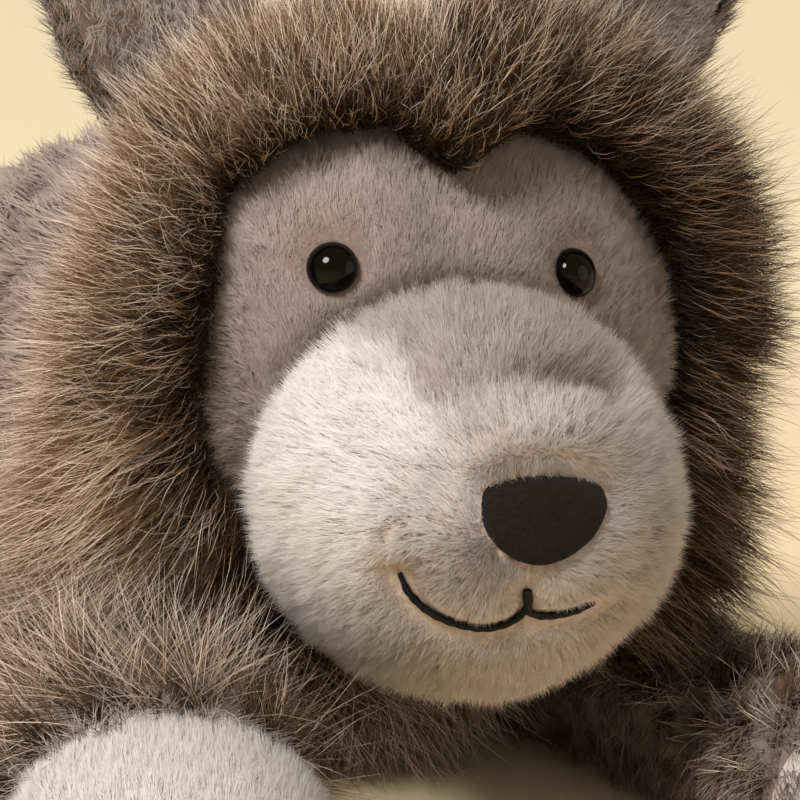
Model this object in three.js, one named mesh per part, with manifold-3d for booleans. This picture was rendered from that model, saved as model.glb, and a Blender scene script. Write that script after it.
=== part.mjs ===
// Plush wolf lying on its belly, facing -Y, with a long-pile mane round its face.
// Millimetres, +Z up. The origin is on the floor under the middle of the belly.
// Every stuffed form is a plush skin with an opening, a fibrefill core inside it and its own fittings.

import * as THREE from 'three';
import { mergeVertices } from 'three/addons/utils/BufferGeometryUtils.js';
import Module from 'manifold-3d';

const wasm = await Module();
wasm.setup();

// Seams and cloth
const PLUSH_WALL = 3;
const SEAM_GAP = 0.3;
const JOINT_GAP = 0.8;
const HEAD_CLEARANCE = 5;
const CORE_CLEARANCE = 3;
const FLAT_DEPTH = 0.5;

// Torso
const TORSO_LENGTH = 270;
const HIP_WIDTH = 160;
const CHEST_WIDTH = 120;
const BACK_HEIGHT = 138;
const CHEST_HEIGHT = 100;
const PELLET_BAG_SIZE = [84, 110, 34];
const BIB_WIDTH = 68;
const BIB_HEIGHT = 54;
const BIB_THICKNESS = 15;
const THREAD_RADIUS = 0.9;

// Head
const HEAD_WIDTH = 139;
const HEAD_DEPTH = 121;
const HEAD_HEIGHT = 125;
const HEAD_RISE = 111;
const HEAD_AHEAD = 8;
const HEAD_PITCH = 13;
const NECK_RADIUS = 30;
const NECK_BACK = 57;
const NECK_DROP = 20;
const HEAD_TURN = 15;
const HEAD_NOD = 18;

// Muzzle, nose and mouth, in the head's own frame
const MUZZLE_WIDTH = 94;
const MUZZLE_LENGTH = 90;
const MUZZLE_HEIGHT = 84;
const MUZZLE_REACH = 68;
const MUZZLE_DROP = 11;
const NOSE_WIDTH = 28;
const NOSE_HEIGHT = 22;
const NOSE_PROUD = 3.5;
const NOSE_RISE = 15.5;
const PHILTRUM_TOP = 1.5;
const PHILTRUM_FOOT = -4.5;
const MOUTH_RIGHT_REACH = 28;
const MOUTH_RIGHT_SAG = 5;
const MOUTH_RIGHT_LIFT = 5;
const MOUTH_LEFT_REACH = 17;
const MOUTH_LEFT_SAG = 2;
const MOUTH_LEFT_LIFT = 0.5;

// Eyes
const EYE_DIAMETER = 12;
const EYE_DOME = 4.5;
const EYE_SPACING = 60;
const EYE_RISE = 35;
const EYE_STEM_RADIUS = 2;
const EYE_STEM_LENGTH = 10;
const WASHER_RADIUS = 7;
const WASHER_THICKNESS = 1.5;
const STEM_CLEARANCE = 0.35;

// Mane
const MANE_RADIUS = 88;
const MANE_BAND = 17;
const MANE_DEPTH = 52;
const MANE_REACH = 14;
const MANE_HEM = 46;

// Ears
const EAR_LENGTH = 92;
const EAR_WIDTH = 46;
const EAR_BACK_THICKNESS = 4.5;
const EAR_LINING_THICKNESS = 3;
const EAR_LINING_MARGIN = 4;
const EAR_ROOT_RADIUS = 4;
const EAR_ROOT_SINK = 2;
const EAR_SIDE_ANGLE = 43;
const EAR_TILT = 27;
const EAR_SET_BACK = 25;

// Front legs
const SHOULDER_RADIUS = 27;
const SHOULDER_SPREAD = 140;
const SHOULDER_INSET = 42;
const FRONT_LEG_LENGTH = 205;
const FRONT_LEG_WAIST = 52;
const FRONT_LEG_HEIGHT = 34;
const FRONT_PAW_WIDTH = 74;
const FRONT_PAW_HEIGHT = 49;
const FRONT_PAW_LENGTH = 52;
const RIGHT_LEG_SPLAY = 3;
const LEFT_LEG_SPLAY = 10;

// Hind legs
const HAUNCH_RADIUS = 46;
const HAUNCH_THICKNESS = 52;
const HAUNCH_SPREAD = 152;
const HIP_INSET = 66;
const HIND_FOOT_LENGTH = 92;
const HIND_FOOT_WIDTH = 46;
const HIND_FOOT_HEIGHT = 44;
const HIND_PAW_LENGTH = 36;
const HIND_FOOT_OUTSET = 29;

// Tail
const TAIL_ROOT_RADIUS = 16;
const TAIL_ROOT_RISE = 56;
const TAIL_ROOT_INSET = 4;
const TAIL_LENGTH = 150;
const TAIL_WIDTH = 58;
const TAIL_TIP_LENGTH = 42;

// Facets round a skin, a limb and the forms that a skin hides
const SKIN_SEGMENTS = 22;
const LIMB_SEGMENTS = 14;
const CORE_SEGMENTS = 10;

const ORIGIN = new THREE.Vector3();
const Z_AXIS = new THREE.Vector3(0, 0, 1);
const radians = THREE.MathUtils.degToRad;
const SIDES = { left: 1, right: -1 };

// Colours of the cloth, plastic and thread
const cloth = (color) => new THREE.MeshStandardMaterial({ color, roughness: 0.95, metalness: 0 });
const TAUPE = 0xa08c80;
const CREAM = 0xe2d6cc;
const MANE_BROWN = 0x5c4636;
const TAIL_BROWN = 0x6e5646;
const LINING_GREY = 0xa8968c;
const FELT_BLACK = 0x2b2624;
const FIBREFILL_WHITE = 0xf2efe8;
const PELLET_CLOTH = 0xcfc8ba;
const THREAD_BLACK = 0x151312;
const eyePlastic = () => new THREE.MeshStandardMaterial({ color: 0x0b0908, roughness: 0.08, metalness: 0 });
const washerPlastic = () => new THREE.MeshStandardMaterial({ color: 0xe8e8e4, roughness: 0.5, metalness: 0 });

// Solids: a closed geometry becomes a solid that can be joined and cut, and goes back to a geometry.

function toSolid(geometry, matrix) {
  const bare = geometry.clone();
  bare.deleteAttribute('normal');
  bare.deleteAttribute('uv');
  if (matrix) bare.applyMatrix4(matrix);
  const merged = mergeVertices(bare, 1e-4);
  return new wasm.Manifold(new wasm.Mesh({
    numProp: 3,
    vertProperties: new Float32Array(merged.attributes.position.array),
    triVerts: new Uint32Array(merged.index.array),
  }));
}

function toGeometry(solid) {
  const mesh = solid.getMesh();
  const geometry = new THREE.BufferGeometry();
  geometry.setAttribute('position', new THREE.BufferAttribute(new Float32Array(mesh.vertProperties), 3));
  geometry.setIndex(new THREE.BufferAttribute(new Uint32Array(mesh.triVerts), 1));
  geometry.computeVertexNormals();
  return geometry;
}

const cut = (solid, ...tools) => tools.reduce((rest, tool) => rest.subtract(tool), solid);

function piece(name, solid, material) {
  const mesh = new THREE.Mesh(toGeometry(solid), material);
  mesh.name = name;
  return mesh;
}

function ellipsoid(radii, segments, matrix) {
  const geometry = new THREE.SphereGeometry(1, segments, Math.round(segments * 0.58));
  geometry.applyMatrix4(new THREE.Matrix4().makeScale(...radii));
  return toSolid(geometry, matrix);
}

const ball = (radius, centre, segments = SKIN_SEGMENTS) =>
  ellipsoid([radius, radius, radius], segments, new THREE.Matrix4().makeTranslation(centre));

function box(width, depth, height, centre) {
  const geometry = new THREE.BoxGeometry(width, depth, height);
  return toSolid(geometry, new THREE.Matrix4().makeTranslation(centre));
}

// Everything below a height, as a tool that cuts a rest face.
const SPAN = 2000;
const below = (height) => box(SPAN, SPAN, SPAN, new THREE.Vector3(0, 0, height - SPAN / 2));
const aheadOf = (y) => box(SPAN, SPAN, SPAN, new THREE.Vector3(0, y - SPAN / 2, 0));
const behind = (y) => box(SPAN, SPAN, SPAN, new THREE.Vector3(0, y + SPAN / 2, 0));

// A stuffed form along Y: ringAt(share) gives each ring's y, its centre height and its half sizes.
function loft(ringAt, rings, segments) {
  const points = [];
  const faces = [];
  for (let ring = 1; ring < rings; ring += 1) {
    const share = (1 - Math.cos((Math.PI * ring) / rings)) / 2;
    const { y, rise, halfWidth, halfHeight } = ringAt(share);
    for (let step = 0; step < segments; step += 1) {
      const turn = (2 * Math.PI * step) / segments;
      points.push(halfWidth * Math.cos(turn), y, rise + halfHeight * Math.sin(turn));
    }
  }
  const ends = [0, 1].map((share) => {
    const { y, rise } = ringAt(share);
    points.push(0, y, rise);
    return points.length / 3 - 1;
  });
  const corner = (ring, step) => ring * segments + (step % segments);
  const rearward = ringAt(1).y > ringAt(0).y;
  const face = (a, b, c) => (rearward ? faces.push(a, b, c) : faces.push(a, c, b));
  const last = rings - 2;
  for (let step = 0; step < segments; step += 1) {
    face(ends[0], corner(0, step), corner(0, step + 1));
    face(ends[1], corner(last, step + 1), corner(last, step));
    for (let ring = 0; ring < last; ring += 1) {
      const [a, b] = [corner(ring, step), corner(ring, step + 1)];
      const [c, d] = [corner(ring + 1, step), corner(ring + 1, step + 1)];
      face(a, c, b);
      face(b, c, d);
    }
  }
  const geometry = new THREE.BufferGeometry();
  geometry.setAttribute('position', new THREE.Float32BufferAttribute(points, 3));
  geometry.setIndex(faces);
  return toSolid(geometry);
}

const smooth = (from, to, share) => from + (to - from) * THREE.MathUtils.smoothstep(share, 0, 1);

// Torso: broad hips, a lower chest, both ends rounded. An inset gives the faces inside the skin.

const TORSO_END_POWER = 3.5;
const HIP_SHARE = 0.6;

function torsoForm(inset, segments, rings) {
  const half = TORSO_LENGTH / 2;
  return loft((share) => {
    const along = 2 * share - 1;
    const end = Math.sqrt(Math.max(0, 1 - Math.abs(along) ** TORSO_END_POWER));
    const swell = share / HIP_SHARE;
    const halfHeight = smooth(CHEST_HEIGHT, BACK_HEIGHT, swell) / 2;
    return {
      y: along * (half - inset),
      rise: halfHeight - FLAT_DEPTH,
      halfWidth: (smooth(CHEST_WIDTH, HIP_WIDTH, swell) / 2 - inset) * end,
      halfHeight: (halfHeight - inset) * end,
    };
  }, rings, segments);
}

// Head frame: where the head sits, and the neck that it turns and nods about.

const HEAD_CENTRE = new THREE.Vector3(0, -TORSO_LENGTH / 2 - HEAD_AHEAD, HEAD_RISE);
const NECK_CENTRE = HEAD_CENTRE.clone().add(new THREE.Vector3(0, NECK_BACK, -NECK_DROP));
const headAtRest = new THREE.Matrix4().makeTranslation(HEAD_CENTRE)
  .multiply(new THREE.Matrix4().makeRotationX(radians(HEAD_PITCH)));
const neckInHead = NECK_CENTRE.clone().applyMatrix4(headAtRest.clone().invert());

const headRadii = (inset) => [HEAD_WIDTH / 2 - inset, HEAD_DEPTH / 2 - inset, HEAD_HEIGHT / 2 - inset];
const headForm = (inset, segments, matrix) => ellipsoid(headRadii(inset), segments, matrix);

// The room that the head needs at every turn and nod, as one ellipsoid round all of them.
function headRoom(clearance, segments) {
  const [turn, nod] = [radians(HEAD_TURN), radians(HEAD_NOD)];
  const swing = [
    NECK_BACK * Math.sin(turn),
    (NECK_BACK * (1 - Math.cos(nod)) + NECK_DROP * Math.sin(nod)) / 2,
    (NECK_BACK * Math.sin(nod) - NECK_DROP * (1 - Math.cos(nod))) / 2,
  ];
  const centre = HEAD_CENTRE.clone().add(new THREE.Vector3(0, swing[1], swing[2]));
  const radii = headRadii(-clearance).map((radius, axis) => radius + swing[axis]);
  return ellipsoid(radii, segments, new THREE.Matrix4().makeTranslation(centre));
}

// Front legs: a ball in the shoulder, a shaft that widens into the paw, lying on the floor.

const FRONT_PAW_SEAM = FRONT_LEG_LENGTH - FRONT_PAW_LENGTH;
const FRONT_END_SHARE = 0.5;
const FRONT_SWELL_START = 0.5;
const FRONT_SWELL_SHARE = 0.3;

function frontLegForm(inset, segments) {
  const endLength = FRONT_PAW_LENGTH * (1 - FRONT_END_SHARE) + FRONT_PAW_WIDTH * FRONT_END_SHARE / 2;
  const shaft = loft((share) => {
    const length = FRONT_LEG_LENGTH - inset;
    const along = share * length;
    const pastEnd = Math.max(0, along - (length - endLength)) / endLength;
    const end = Math.sqrt(Math.max(0, 1 - pastEnd ** 2));
    const start = Math.sqrt(Math.min(1, along / ((SHOULDER_RADIUS - inset) * 0.4)));
    const swell = (along / FRONT_LEG_LENGTH - FRONT_SWELL_START) / FRONT_SWELL_SHARE;
    const halfHeight = smooth(FRONT_LEG_HEIGHT, FRONT_PAW_HEIGHT, swell) / 2;
    return {
      y: -along,
      rise: halfHeight - FLAT_DEPTH,
      halfWidth: (smooth(FRONT_LEG_WAIST, FRONT_PAW_WIDTH, swell) / 2 - inset) * end * start,
      halfHeight: (halfHeight - inset) * end * start,
    };
  }, 10, segments);
  const root = new THREE.Vector3(0, 0, SHOULDER_RADIUS - FLAT_DEPTH);
  return shaft.add(ball(SHOULDER_RADIUS - inset, root, segments));
}

const shoulderAt = (side) => new THREE.Vector3((side * SHOULDER_SPREAD) / 2, SHOULDER_INSET - TORSO_LENGTH / 2, 0);
const shoulderCentre = (side) => shoulderAt(side).setZ(SHOULDER_RADIUS - FLAT_DEPTH);

// Hind legs: a round haunch that turns about X, with a foot ahead of it on the floor.

function haunchForm(inset, segments) {
  const profile = new THREE.EllipseCurve(0, 0, HAUNCH_RADIUS - inset, HAUNCH_THICKNESS / 2 - inset,
    -Math.PI / 2, Math.PI / 2).getPoints(8);
  profile[0].x = 0;
  profile.at(-1).x = 0;
  const turned = new THREE.Matrix4().makeRotationZ(-Math.PI / 2);
  return toSolid(new THREE.LatheGeometry(profile, segments), turned);
}

const HIP_RISE = HAUNCH_RADIUS - FLAT_DEPTH;

function hindFootForm(inset, segments, side) {
  const foot = loft((share) => {
    const length = HIND_FOOT_LENGTH - inset;
    const along = share * length;
    const endLength = HIND_FOOT_WIDTH / 2;
    const pastEnd = Math.max(0, along - (length - endLength)) / endLength;
    const end = Math.sqrt(Math.max(0, 1 - pastEnd ** 2));
    const start = Math.sqrt(Math.min(1, along / endLength));
    const halfHeight = HIND_FOOT_HEIGHT / 2;
    return {
      y: -along,
      rise: halfHeight - FLAT_DEPTH - HIP_RISE,
      halfWidth: (HIND_FOOT_WIDTH / 2 - inset) * end * start,
      halfHeight: (halfHeight - inset) * end * start,
    };
  }, 8, segments);
  const outset = new THREE.Matrix4().makeTranslation(side * HIND_FOOT_OUTSET, 0, 0);
  return toSolid(toGeometry(foot), outset);
}

const hindLegForm = (inset, segments, side) =>
  haunchForm(inset, segments + 4).add(hindFootForm(inset, segments, side));

const hipCentre = (side) => new THREE.Vector3((side * HAUNCH_SPREAD) / 2, TORSO_LENGTH / 2 - HIP_INSET, HIP_RISE);

// Tail: a ball in the rump, a brush that swells and comes down to the floor.

function tailForm(inset, segments) {
  const brush = loft((share) => {
    const length = TAIL_LENGTH - inset;
    const along = share * length;
    const floorRise = TAIL_WIDTH / 2 - FLAT_DEPTH;
    const endLength = TAIL_LENGTH * 0.45;
    const pastEnd = Math.max(0, along - (length - endLength)) / endLength;
    const end = Math.sqrt(Math.max(0, 1 - pastEnd ** 2));
    const start = Math.sqrt(Math.min(1, along / ((TAIL_ROOT_RADIUS - inset) * 0.4)));
    const swell = along / (TAIL_LENGTH * 0.55);
    const half = (smooth(TAIL_ROOT_RADIUS * 1.35, TAIL_WIDTH, swell) / 2 - inset) * end * start;
    return { y: along, rise: smooth(TAIL_ROOT_RISE, floorRise, swell) - TAIL_ROOT_RISE, halfWidth: half, halfHeight: half };
  }, 10, segments);
  return brush.add(ball(TAIL_ROOT_RADIUS - inset, ORIGIN, segments));
}

const tailCentre = new THREE.Vector3(0, TORSO_LENGTH / 2 - TAIL_ROOT_INSET, TAIL_ROOT_RISE);

// Tools that cut seats for the neck, limbs and tail out of a torso piece.
function torsoSeats(gap, headGap, segments) {
  const sides = Object.values(SIDES);
  return [
    headRoom(headGap, segments),
    ball(NECK_RADIUS + JOINT_GAP, NECK_CENTRE),
    ball(TAIL_ROOT_RADIUS + gap, tailCentre, segments),
    ...sides.map((side) => ball(SHOULDER_RADIUS + gap, shoulderCentre(side), segments)),
    ...sides.map((side) => haunchSeat(side, gap, segments)),
  ];
}

function haunchSeat(side, gap, segments) {
  const place = new THREE.Matrix4().makeTranslation(hipCentre(side));
  return toSolid(toGeometry(haunchForm(-gap, segments)), place);
}

function buildTorso() {
  const torso = new THREE.Group();
  const outside = torsoForm(0, SKIN_SEGMENTS, 14);
  const seats = torsoSeats(JOINT_GAP, HEAD_CLEARANCE, SKIN_SEGMENTS);
  const skin = cut(outside, torsoForm(PLUSH_WALL, CORE_SEGMENTS, 8), below(0), ...seats);
  torso.add(piece('body_skin', skin, cloth(TAUPE)));

  const core = torsoForm(PLUSH_WALL + SEAM_GAP, CORE_SEGMENTS, 8);
  const bagAt = new THREE.Matrix4().makeTranslation(0, 0, PLUSH_WALL);
  const bag = (grow) => ellipsoid(PELLET_BAG_SIZE.map((size) => size / 2 + grow), CORE_SEGMENTS, bagAt);
  const coreSeats = torsoSeats(CORE_CLEARANCE, HEAD_CLEARANCE + CORE_CLEARANCE, CORE_SEGMENTS + 2);
  const stuffing = cut(core, bag(SEAM_GAP), ...coreSeats);
  torso.add(piece('body_stuffing', stuffing, cloth(FIBREFILL_WHITE)));
  torso.add(piece('belly_pellet_bag', bag(0).intersect(core), cloth(PELLET_CLOTH)));

  const bibAt = new THREE.Matrix4().makeTranslation(0, -TORSO_LENGTH / 2 + BIB_THICKNESS / 2, CHEST_HEIGHT / 2 - BIB_THICKNESS / 2);
  const bib = cut(ellipsoid([BIB_WIDTH / 2, BIB_THICKNESS, BIB_HEIGHT / 2], LIMB_SEGMENTS, bibAt),
    torsoForm(-SEAM_GAP, SKIN_SEGMENTS, 14), headRoom(HEAD_CLEARANCE, SKIN_SEGMENTS), below(FLAT_DEPTH));
  torso.add(piece('chest_ruff', bib, cloth(MANE_BROWN)));
  return torso;
}

function buildNeck() {
  const neck = piece('neck', ball(NECK_RADIUS, ORIGIN), cloth(FIBREFILL_WHITE));
  neck.position.copy(NECK_CENTRE);
  return neck;
}

// Points of the head and muzzle: the surface above x and z, and its outward normal.

const muzzleRadii = (inset) => [MUZZLE_WIDTH / 2 - inset, MUZZLE_LENGTH / 2 - inset, MUZZLE_HEIGHT / 2 - inset];
const MUZZLE_CENTRE = new THREE.Vector3(0, -MUZZLE_REACH, -MUZZLE_DROP);
const muzzleForm = (inset, segments) =>
  ellipsoid(muzzleRadii(inset), segments, new THREE.Matrix4().makeTranslation(MUZZLE_CENTRE));

// The foremost point of an ellipsoid at x and z from its centre.
function frontPoint(radii, centre, x, z) {
  const left = Math.max(0, 1 - (x / radii[0]) ** 2 - (z / radii[2]) ** 2);
  return new THREE.Vector3(x, -radii[1] * Math.sqrt(left), z).add(centre);
}

function outward(radii, centre, point) {
  const from = point.clone().sub(centre);
  return new THREE.Vector3(from.x / radii[0] ** 2, from.y / radii[1] ** 2, from.z / radii[2] ** 2).normalize();
}

// A turn and move that puts a piece made along +Z onto a surface point.
function seatOn(point, normal) {
  const turn = new THREE.Quaternion().setFromUnitVectors(Z_AXIS, normal);
  return new THREE.Matrix4().compose(point, turn, new THREE.Vector3(1, 1, 1));
}

const eyeAt = (side) => frontPoint(headRadii(0), ORIGIN, (side * EYE_SPACING) / 2, EYE_RISE);
const eyeSeat = (side) => seatOn(eyeAt(side), outward(headRadii(0), ORIGIN, eyeAt(side)));

// A plug along the eye's stem between two depths under the skin's surface.
function eyePlug(side, radius, shallow, deep, segments) {
  const geometry = new THREE.CylinderGeometry(radius, radius, deep - shallow, segments);
  geometry.rotateX(Math.PI / 2);
  geometry.translate(0, 0, -(shallow + deep) / 2);
  return toSolid(geometry, eyeSeat(side));
}

function buildEye(side, word) {
  const radius = EYE_DIAMETER / 2;
  const dome = new THREE.EllipseCurve(0, SEAM_GAP, radius, EYE_DOME, 0, Math.PI / 2).getPoints(5);
  dome.at(-1).x = 0;
  const profile = [
    new THREE.Vector2(0, -EYE_STEM_LENGTH),
    new THREE.Vector2(EYE_STEM_RADIUS, -EYE_STEM_LENGTH),
    new THREE.Vector2(EYE_STEM_RADIUS, SEAM_GAP),
    ...dome,
  ];
  const eye = new THREE.LatheGeometry(profile, 12);
  eye.rotateX(Math.PI / 2);
  return piece(`eye_${word}`, toSolid(eye, eyeSeat(side)), eyePlastic());
}

function buildWasher(side, word) {
  const front = -(PLUSH_WALL + SEAM_GAP + WASHER_THICKNESS);
  const bore = EYE_STEM_RADIUS + STEM_CLEARANCE;
  const profile = [
    new THREE.Vector2(bore, front),
    new THREE.Vector2(WASHER_RADIUS, front),
    new THREE.Vector2(WASHER_RADIUS, front + WASHER_THICKNESS),
    new THREE.Vector2(bore, front + WASHER_THICKNESS),
    new THREE.Vector2(bore, front),
  ];
  const washer = new THREE.LatheGeometry(profile, 12);
  washer.rotateX(Math.PI / 2);
  return piece(`eye_washer_${word}`, toSolid(washer, eyeSeat(side)), washerPlastic());
}

// Nose: a rounded triangle, broad at the top, pressed onto the muzzle.
function buildNose() {
  const half = NOSE_WIDTH / 2;
  const low = -NOSE_HEIGHT / 2;
  const outline = new THREE.Shape();
  outline.moveTo(0, low);
  outline.bezierCurveTo(half * 0.45, low, half, low * 0.25, half, -low * 0.3);
  outline.bezierCurveTo(half, -low * 0.8, half * 0.6, -low, 0, -low);
  outline.bezierCurveTo(-half * 0.6, -low, -half, -low * 0.8, -half, -low * 0.3);
  outline.bezierCurveTo(-half, low * 0.25, -half * 0.45, low, 0, low);
  const bevel = NOSE_PROUD * 0.6;
  const pad = new THREE.ExtrudeGeometry(outline, {
    depth: NOSE_WIDTH, bevelEnabled: true, bevelThickness: bevel, bevelSize: bevel, bevelOffset: -bevel,
    bevelSegments: 2, curveSegments: 5,
  });
  pad.translate(0, 0, NOSE_PROUD - bevel - NOSE_WIDTH);
  pad.rotateX(Math.PI / 2);
  const tip = frontPoint(muzzleRadii(0), MUZZLE_CENTRE, 0, NOSE_RISE);
  const nose = toSolid(pad, new THREE.Matrix4().makeTranslation(tip));
  return piece('nose', nose.subtract(muzzleForm(-SEAM_GAP, SKIN_SEGMENTS)), cloth(FELT_BLACK));
}

// A round thread along points, with flat ends.
function thread(points, steps, sides) {
  const section = new THREE.Shape();
  for (let side = 0; side < sides; side += 1) {
    const turn = (2 * Math.PI * side) / sides;
    const place = [THREAD_RADIUS * Math.cos(turn), THREAD_RADIUS * Math.sin(turn)];
    if (side) section.lineTo(...place);
    else section.moveTo(...place);
  }
  const path = new THREE.CatmullRomCurve3(points, false, 'catmullrom', 0.5);
  return toSolid(new THREE.ExtrudeGeometry(section, { steps, bevelEnabled: false, extrudePath: path }));
}

// Mouth: two lip lines that meet under a short philtrum, all one run of embroidery on the muzzle.
function buildMouth() {
  const proud = THREAD_RADIUS + SEAM_GAP * 2;
  const radii = muzzleRadii(-proud);
  const on = (x, z) => frontPoint(radii, MUZZLE_CENTRE, x, z);
  const lip = (reach, sag, lift) => [
    on(0, PHILTRUM_FOOT),
    on(reach * 0.2, PHILTRUM_FOOT - sag * 0.75),
    on(reach * 0.5, PHILTRUM_FOOT - sag),
    on(reach * 0.8, PHILTRUM_FOOT - sag * 0.3),
    on(reach, PHILTRUM_FOOT + lift),
  ];
  const middle = (PHILTRUM_TOP + PHILTRUM_FOOT) / 2;
  const philtrum = thread([on(0, PHILTRUM_TOP), on(0, middle), on(0, PHILTRUM_FOOT - THREAD_RADIUS)], 4, 6);
  const rightLip = thread(lip(-MOUTH_RIGHT_REACH, MOUTH_RIGHT_SAG, MOUTH_RIGHT_LIFT), 10, 6);
  const leftLip = thread(lip(MOUTH_LEFT_REACH, MOUTH_LEFT_SAG, MOUTH_LEFT_LIFT), 8, 6);
  const mouth = philtrum.add(rightLip).add(leftLip);
  return piece('mouth_stitch', mouth, cloth(THREAD_BLACK));
}

// Mane: a padded band of long pile round the head, open under the chin to clear the legs.
function buildMane() {
  const band = new THREE.EllipseCurve(MANE_RADIUS - MANE_BAND, -MANE_REACH, MANE_BAND, MANE_DEPTH / 2)
    .getPoints(10).map((point) => new THREE.Vector2(point.x, point.y));
  const ring = toSolid(new THREE.LatheGeometry(band, 28));
  const head = headForm(-SEAM_GAP, SKIN_SEGMENTS);
  return piece('mane', cut(ring, head, below(-MANE_HEM)), cloth(MANE_BROWN));
}

// Ears: a plush back with a rolled root in a groove of the head, and a lining on its front.

function earFrame(side) {
  const radii = headRadii(0);
  const ring = Math.sqrt(1 - (EAR_SET_BACK / radii[1]) ** 2);
  const angle = radians(EAR_SIDE_ANGLE);
  const point = new THREE.Vector3(side * radii[0] * Math.sin(angle) * ring, EAR_SET_BACK, radii[2] * Math.cos(angle) * ring);
  const lift = EAR_ROOT_RADIUS + SEAM_GAP - EAR_ROOT_SINK;
  point.addScaledVector(outward(radii, ORIGIN, point), lift);
  return new THREE.Matrix4().makeTranslation(point).multiply(new THREE.Matrix4().makeRotationY(side * radians(EAR_TILT)));
}

function earRoot(radius, length) {
  const geometry = new THREE.CylinderGeometry(radius, radius, length, 12);
  return toSolid(geometry, new THREE.Matrix4().makeRotationZ(Math.PI / 2));
}

// The ear's outline in X and Z, drawn in by a margin, as a plate between two depths in Y.
function earPlate(margin, front, back) {
  const half = EAR_WIDTH / 2 - margin;
  const foot = margin;
  const tip = EAR_LENGTH - margin * 2;
  const outline = new THREE.Shape();
  outline.moveTo(-half * 0.72, foot);
  outline.lineTo(half * 0.72, foot);
  outline.bezierCurveTo(half * 1.15, tip * 0.3, half * 1.0, tip * 0.6, half * 0.3, tip * 0.97);
  outline.quadraticCurveTo(0, tip * 1.03, -half * 0.3, tip * 0.97);
  outline.bezierCurveTo(-half * 1.0, tip * 0.6, -half * 1.15, tip * 0.3, -half * 0.72, foot);
  const plate = new THREE.ExtrudeGeometry(outline, { depth: back - front, bevelEnabled: false, curveSegments: 7 });
  plate.rotateX(Math.PI / 2);
  plate.translate(0, back, 0);
  return toSolid(plate);
}

function buildEar(side, word) {
  const ear = new THREE.Group();
  ear.applyMatrix4(earFrame(side));
  const backHalf = EAR_BACK_THICKNESS / 2;
  const back = earPlate(0, -backHalf, backHalf).add(earRoot(EAR_ROOT_RADIUS, EAR_WIDTH * 0.7));
  ear.add(piece(`ear_${word}_back`, back, cloth(TAUPE)));
  const front = -backHalf - SEAM_GAP;
  const lining = earPlate(EAR_LINING_MARGIN, front - EAR_LINING_THICKNESS, front);
  const clear = earRoot(EAR_ROOT_RADIUS + SEAM_GAP, EAR_WIDTH);
  ear.add(piece(`ear_${word}_lining`, lining.subtract(clear), cloth(LINING_GREY)));
  return ear;
}

const earGroove = (side) => {
  const groove = earRoot(EAR_ROOT_RADIUS + SEAM_GAP, EAR_WIDTH * 0.7 + 2 * JOINT_GAP);
  return toSolid(toGeometry(groove), earFrame(side));
};

function buildHead() {
  const head = new THREE.Group();
  head.position.copy(HEAD_CENTRE);
  head.rotation.x = radians(HEAD_PITCH);
  const sides = Object.values(SIDES);
  const grooves = sides.map(earGroove);
  const stemHole = (side) => eyePlug(side, EYE_STEM_RADIUS + STEM_CLEARANCE, -EYE_DOME, EYE_STEM_LENGTH, 8);
  const washerFloor = (side) => eyePlug(side, WASHER_RADIUS + SEAM_GAP, PLUSH_WALL, EYE_STEM_LENGTH * 2, 12);
  const skin = cut(headForm(0, SKIN_SEGMENTS), headForm(PLUSH_WALL, CORE_SEGMENTS),
    ball(NECK_RADIUS + JOINT_GAP, neckInHead), ...grooves, ...sides.map(stemHole), ...sides.map(washerFloor));
  head.add(piece('head_skin', skin, cloth(TAUPE)));

  const pockets = sides.map((side) => eyePlug(side, WASHER_RADIUS + SEAM_GAP, 0, EYE_STEM_LENGTH + SEAM_GAP, 8));
  const stuffing = cut(headForm(PLUSH_WALL + SEAM_GAP, CORE_SEGMENTS),
    ball(NECK_RADIUS + JOINT_GAP + SEAM_GAP, neckInHead), ...pockets);
  head.add(piece('head_stuffing', stuffing, cloth(FIBREFILL_WHITE)));

  const headSurface = headForm(-SEAM_GAP, SKIN_SEGMENTS);
  const muzzle = cut(muzzleForm(0, SKIN_SEGMENTS), muzzleForm(PLUSH_WALL, CORE_SEGMENTS), headSurface);
  head.add(piece('muzzle_skin', muzzle, cloth(CREAM)));
  const muzzleCore = cut(muzzleForm(PLUSH_WALL + SEAM_GAP, CORE_SEGMENTS), headSurface);
  head.add(piece('muzzle_stuffing', muzzleCore, cloth(FIBREFILL_WHITE)));

  head.add(buildNose(), buildMouth(), buildMane());
  for (const [word, side] of Object.entries(SIDES)) {
    head.add(buildEye(side, word), buildWasher(side, word), buildEar(side, word));
  }
  return head;
}

// A limb made of a skin, a paw or tip sewn on at a seam plane, and one core of fibrefill.
function sewnLimb(names, forms, seamCut, tipCut, colours) {
  const limb = new THREE.Group();
  const [skinName, tipName, coreName] = names;
  const [outside, inside, core] = forms;
  const shell = cut(outside, inside);
  limb.add(piece(skinName, cut(shell, seamCut), cloth(colours[0])));
  limb.add(piece(tipName, cut(shell, tipCut), cloth(colours[1])));
  limb.add(piece(coreName, core, cloth(FIBREFILL_WHITE)));
  return limb;
}

function buildFrontLeg(side, word) {
  const forms = [
    frontLegForm(0, LIMB_SEGMENTS).subtract(below(0)),
    frontLegForm(PLUSH_WALL, CORE_SEGMENTS),
    frontLegForm(PLUSH_WALL + SEAM_GAP, CORE_SEGMENTS),
  ];
  const leg = sewnLimb(
    [`front_${word}_leg`, `front_${word}_paw`, `front_${word}_stuffing`], forms,
    aheadOf(-FRONT_PAW_SEAM + SEAM_GAP / 2), behind(-FRONT_PAW_SEAM - SEAM_GAP / 2), [TAUPE, CREAM],
  );
  leg.position.copy(shoulderAt(side));
  leg.rotation.z = side * radians(side > 0 ? LEFT_LEG_SPLAY : RIGHT_LEG_SPLAY);
  return leg;
}

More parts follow.
